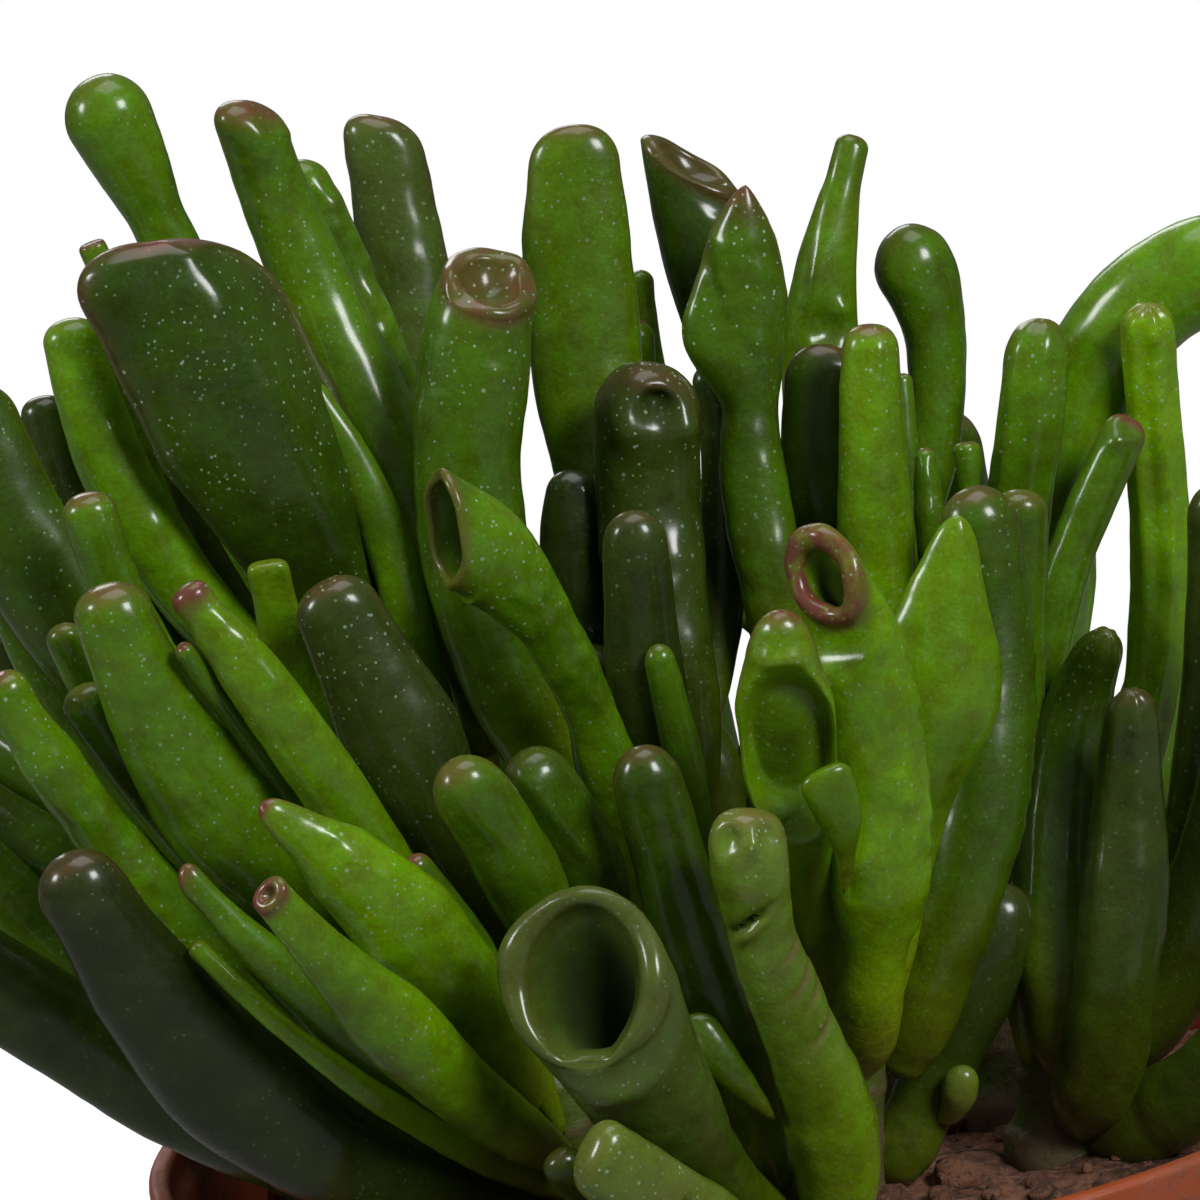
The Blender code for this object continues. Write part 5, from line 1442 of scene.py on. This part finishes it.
def leaf_detail():
    """A shader node group: the colours, pores and relief that every leaf's skin has."""
    group = bpy.data.node_groups.new("leaf_detail", "ShaderNodeTree")
    for name, kind in (
        ("Body", "Color"),
        ("Pale", "Color"),
        ("Bloom Colour", "Color"),
        ("Red", "Color"),
        ("Bloom", "Float"),
        ("Along", "Float"),
        ("Redness", "Float"),
        ("Hollow", "Float"),
        ("Light", "Float"),
        ("Pores", "Float"),
        ("Scar", "Float"),
    ):
        group.interface.new_socket(name, in_out="INPUT", socket_type=f"NodeSocket{kind}")
    group.interface.new_socket("Colour", in_out="OUTPUT", socket_type="NodeSocketColor")
    group.interface.new_socket("Roughness", in_out="OUTPUT", socket_type="NodeSocketFloat")
    group.interface.new_socket("Relief", in_out="OUTPUT", socket_type="NodeSocketFloat")
    group.interface.new_socket("Wax", in_out="OUTPUT", socket_type="NodeSocketFloat")
    nodes = Nodes(group)
    given = nodes.tree.nodes.new("NodeGroupInput").outputs
    out = nodes.tree.nodes.new("NodeGroupOutput")
    place = nodes.add("TexCoord").outputs["Object"]
    cloud = nodes.add("TexNoise", Vector=place, Scale=95, Detail=4, Roughness=0.55).outputs["Fac"]
    mottle = nodes.add("TexNoise", Vector=place, Scale=420, Detail=5, Roughness=0.6).outputs["Fac"]
    fine = nodes.add("TexNoise", Vector=place, Scale=2200, Detail=3, Roughness=0.6).outputs["Fac"]
    swell = nodes.add("TexNoise", Vector=place, Scale=520, Detail=1, Roughness=0.4).outputs["Fac"]

    lightness = nodes.math("ADD", nodes.between(cloud, 0.3, 0.7, 0.72, 1.22), -0.15)
    lightness = nodes.math("ADD", lightness, nodes.between(mottle, 0.3, 0.7, 0.0, 0.32))
    lightness = nodes.math("MULTIPLY", lightness, nodes.between(fine, 0.3, 0.7, 0.88, 1.12))
    # The leaf's lightness in stops: partly its own tone, partly painted light and shade.
    lightness = nodes.math("MULTIPLY", lightness, nodes.math("POWER", 2.0, given["Light"]))
    hue = nodes.math("ADD", nodes.between(mottle, 0.35, 0.65, 0.49, 0.508), nodes.between(fine, 0.35, 0.65, -0.007, 0.005))
    pale = nodes.between(given["Along"], 0.04, 0.42, 0.9, 0.0)
    pale = nodes.math("MULTIPLY", pale, nodes.between(given["Light"], 0.4, 1.6, 1, 0.15))
    colour = nodes.mix(pale, given["Body"], given["Pale"])
    colour = nodes.add("HueSaturation", Hue=hue, Value=lightness, Color=colour).outputs[0]
    bloom = nodes.math("MULTIPLY", nodes.between(cloud, 0.38, 0.62, 0.35, 1.0), given["Bloom"])
    bloom = nodes.math("MULTIPLY", bloom, nodes.between(given["Light"], 0.2, 1.5, 1, 3.5))
    bloom = nodes.math("MULTIPLY", bloom, nodes.between(given["Along"], 0.15, 0.6))
    colour = nodes.mix(bloom, colour, given["Bloom Colour"])
    patchy = nodes.between(mottle, 0.35, 0.6, 0.55, 1.1)
    redness = nodes.math("MULTIPLY", given["Redness"], patchy, clamp=True)
    colour = nodes.mix(redness, colour, given["Red"])
    # Painted shade: cup bowls and shaded dents are mixed towards near black.
    colour = nodes.mix(nodes.math("MULTIPLY", given["Hollow"], 0.8), colour, (0.008, 0.014, 0.003))
    colour = nodes.mix(nodes.math("MULTIPLY", given["Scar"], 0.8), colour, (0.17, 0.1, 0.045))

    dots = []
    for dots_apart, small, large, fewest in ((1350, 0.1, 0.24, 0.3), (800, 0.08, 0.17, 0.15), (430, 0.05, 0.11, 0.3)):
        cells = nodes.add("TexVoronoi", Vector=place, Scale=dots_apart, Randomness=1.0)
        dot = nodes.between(cells.outputs["Distance"], small, large, 1.0, 0.0)
        kept = nodes.add("SeparateColor", Color=cells.outputs["Color"]).outputs[0]
        dots.append(nodes.math("MULTIPLY", dot, nodes.between(kept, fewest, 0.9)))
    dot = nodes.math("MAXIMUM", nodes.math("MAXIMUM", *dots[:2]), dots[2])
    dot = nodes.math("MULTIPLY", dot, nodes.between(cloud, 0.36, 0.56))
    dot = nodes.math("MULTIPLY", dot, given["Pores"])
    colour = nodes.mix(nodes.math("MULTIPLY", dot, 0.9), colour, (0.34, 0.46, 0.32))
    nodes.feed(out, "Colour", colour)

    rough = nodes.between(fine, 0.3, 0.7, 0.32, 0.55)
    rough = nodes.math("ADD", rough, nodes.math("MULTIPLY", bloom, 0.16))
    rough = nodes.math("ADD", rough, nodes.math("MULTIPLY", dot, 0.25))
    nodes.feed(out, "Roughness", nodes.math("ADD", rough, nodes.math("MULTIPLY", given["Hollow"], 0.4)))
    nodes.feed(out, "Wax", nodes.math("MULTIPLY", nodes.between(given["Hollow"], 0.1, 0.6, 1, 0), 0.7))
    relief = nodes.math("ADD", nodes.math("MULTIPLY", swell, 1.0), nodes.math("MULTIPLY", fine, 0.5))
    nodes.feed(out, "Relief", nodes.math("ADD", relief, nodes.math("MULTIPLY", mottle, 0.6)))
    return group


def leaf_material(name, body, pale, bloom, bloom_colour, detail):
    made, nodes, out = new_material(name)
    group = nodes.tree.nodes.new("ShaderNodeGroup")
    group.node_tree = detail
    for socket, value in (
        ("Body", body),
        ("Pale", pale),
        ("Bloom Colour", bloom_colour),
        ("Red", (0.13, 0.042, 0.024)),
        ("Bloom", bloom),
    ):
        nodes.feed(group, socket, value)
    for socket, mark in (
        ("Along", "along"),
        ("Redness", "red"),
        ("Hollow", "painted_shade"),
        ("Light", "light"),
        ("Pores", "pores"),
        ("Scar", "scar"),
    ):
        nodes.feed(group, socket, nodes.add("Attribute", {"attribute_name": mark}).outputs["Fac"])
    bump = nodes.add("Bump", Height=group.outputs["Relief"], Strength=0.45, Distance=0.0003)
    shader = nodes.add(
        "BsdfPrincipled",
        Base_Color=group.outputs["Colour"],
        Roughness=group.outputs["Roughness"],
        Normal=bump.outputs[0],
        Subsurface_Weight=0.06,
        Subsurface_Radius=(0.7, 1.0, 0.2),
        Subsurface_Scale=0.002,
        Specular_IOR_Level=0.1,
        Coat_Weight=group.outputs["Wax"],
        Coat_Roughness=0.19,
    )
    nodes.feed(out, "Surface", shader.outputs[0])
    return made


detail = leaf_detail()
LEAF_SKINS = {
    "leaf_bright": leaf_material(
        "young_leaf", (0.1, 0.21, 0.0002), (0.2, 0.27, 0.004), 0.0, (0.1, 0.14, 0.05), detail
    ),
    "leaf_green": leaf_material(
        "green_leaf", (0.062, 0.142, 0.0001), (0.17, 0.235, 0.003), 0.03, (0.09, 0.12, 0.04), detail
    ),
    "leaf_dark": leaf_material(
        "old_leaf", (0.025, 0.047, 0.0005), (0.07, 0.1, 0.002), 0.12, (0.08, 0.1, 0.04), detail
    ),
}

front = [front_leaf(name, row, NO_SHOOT) for name, row in LEAVES.items()]
draw = random.Random(11)
back = []
for number, (name, rows) in enumerate(BACK_LEAVES.items()):
    for row in rows:
        kind = draw.choice(("leaf_green", "leaf_green", "leaf_dark", "leaf_bright"))
        finish = (kind, draw.uniform(-0.4, 0.4), draw.uniform(0.2, 1), draw.uniform(0.2, 0.9), draw.uniform(2, 2.5))
        back.append(back_leaf(name, number, row, finish))
stem_rows = [(stem, radius, NO_SHOOT) for stem, radius in STEMS.values()]
stem_rows += [(stem, radius, number) for number, (stem, radius) in enumerate(BACK_STEMS.values())]
settled = [
    (line_at(stem, np.linspace(0, 1, STEM_BALLS)), np.full(STEM_BALLS, radius), number)
    for stem, radius, number in stem_rows
]
for leaf, bend in zip(front + back, spread_leaves(front + back, settled)):
    leaf["bend"] = bend

# The small leaves settle last, between the large ones, which keep their places.
SMALL = 9
SMALL_GIVE = 0.5
places = np.linspace(0.1, 1, CROWD_PLACES)
for leaf in front + back:
    balls, radius = crowd_balls(leaf_line(leaf, places), places, leaf["widths"], leaf["flat"])
    settled.append((balls, radius, SMALL))
small = [front_leaf(name, row, SMALL) for name, row in SMALL_LEAVES.items()]
for leaf, bend in zip(small, spread_leaves(small, settled)):
    is_bud = np.ptp(leaf["line"][:, 2]) < BUD_HEIGHT
    leaf["bend"] = (0 if is_bud else SMALL_GIVE) * bend

for number, leaf in enumerate(front + small):
    piece = leaf_skin(leaf, leaf["name"] + "_leaf", number)
    slot = leaf["finish"][0]
    nodes = [f"leaf_{leaf['name']}"] if leaf["shoot"] == NO_SHOOT else []
    settle(piece, LEAF_SKINS[slot], slot, *nodes)
for number, leaf in enumerate(back):
    piece = leaf_skin(leaf, f"{leaf['name']}_leaf_{number}", 100 + number)
    settle(piece, LEAF_SKINS[leaf["finish"][0]], leaf["finish"][0])
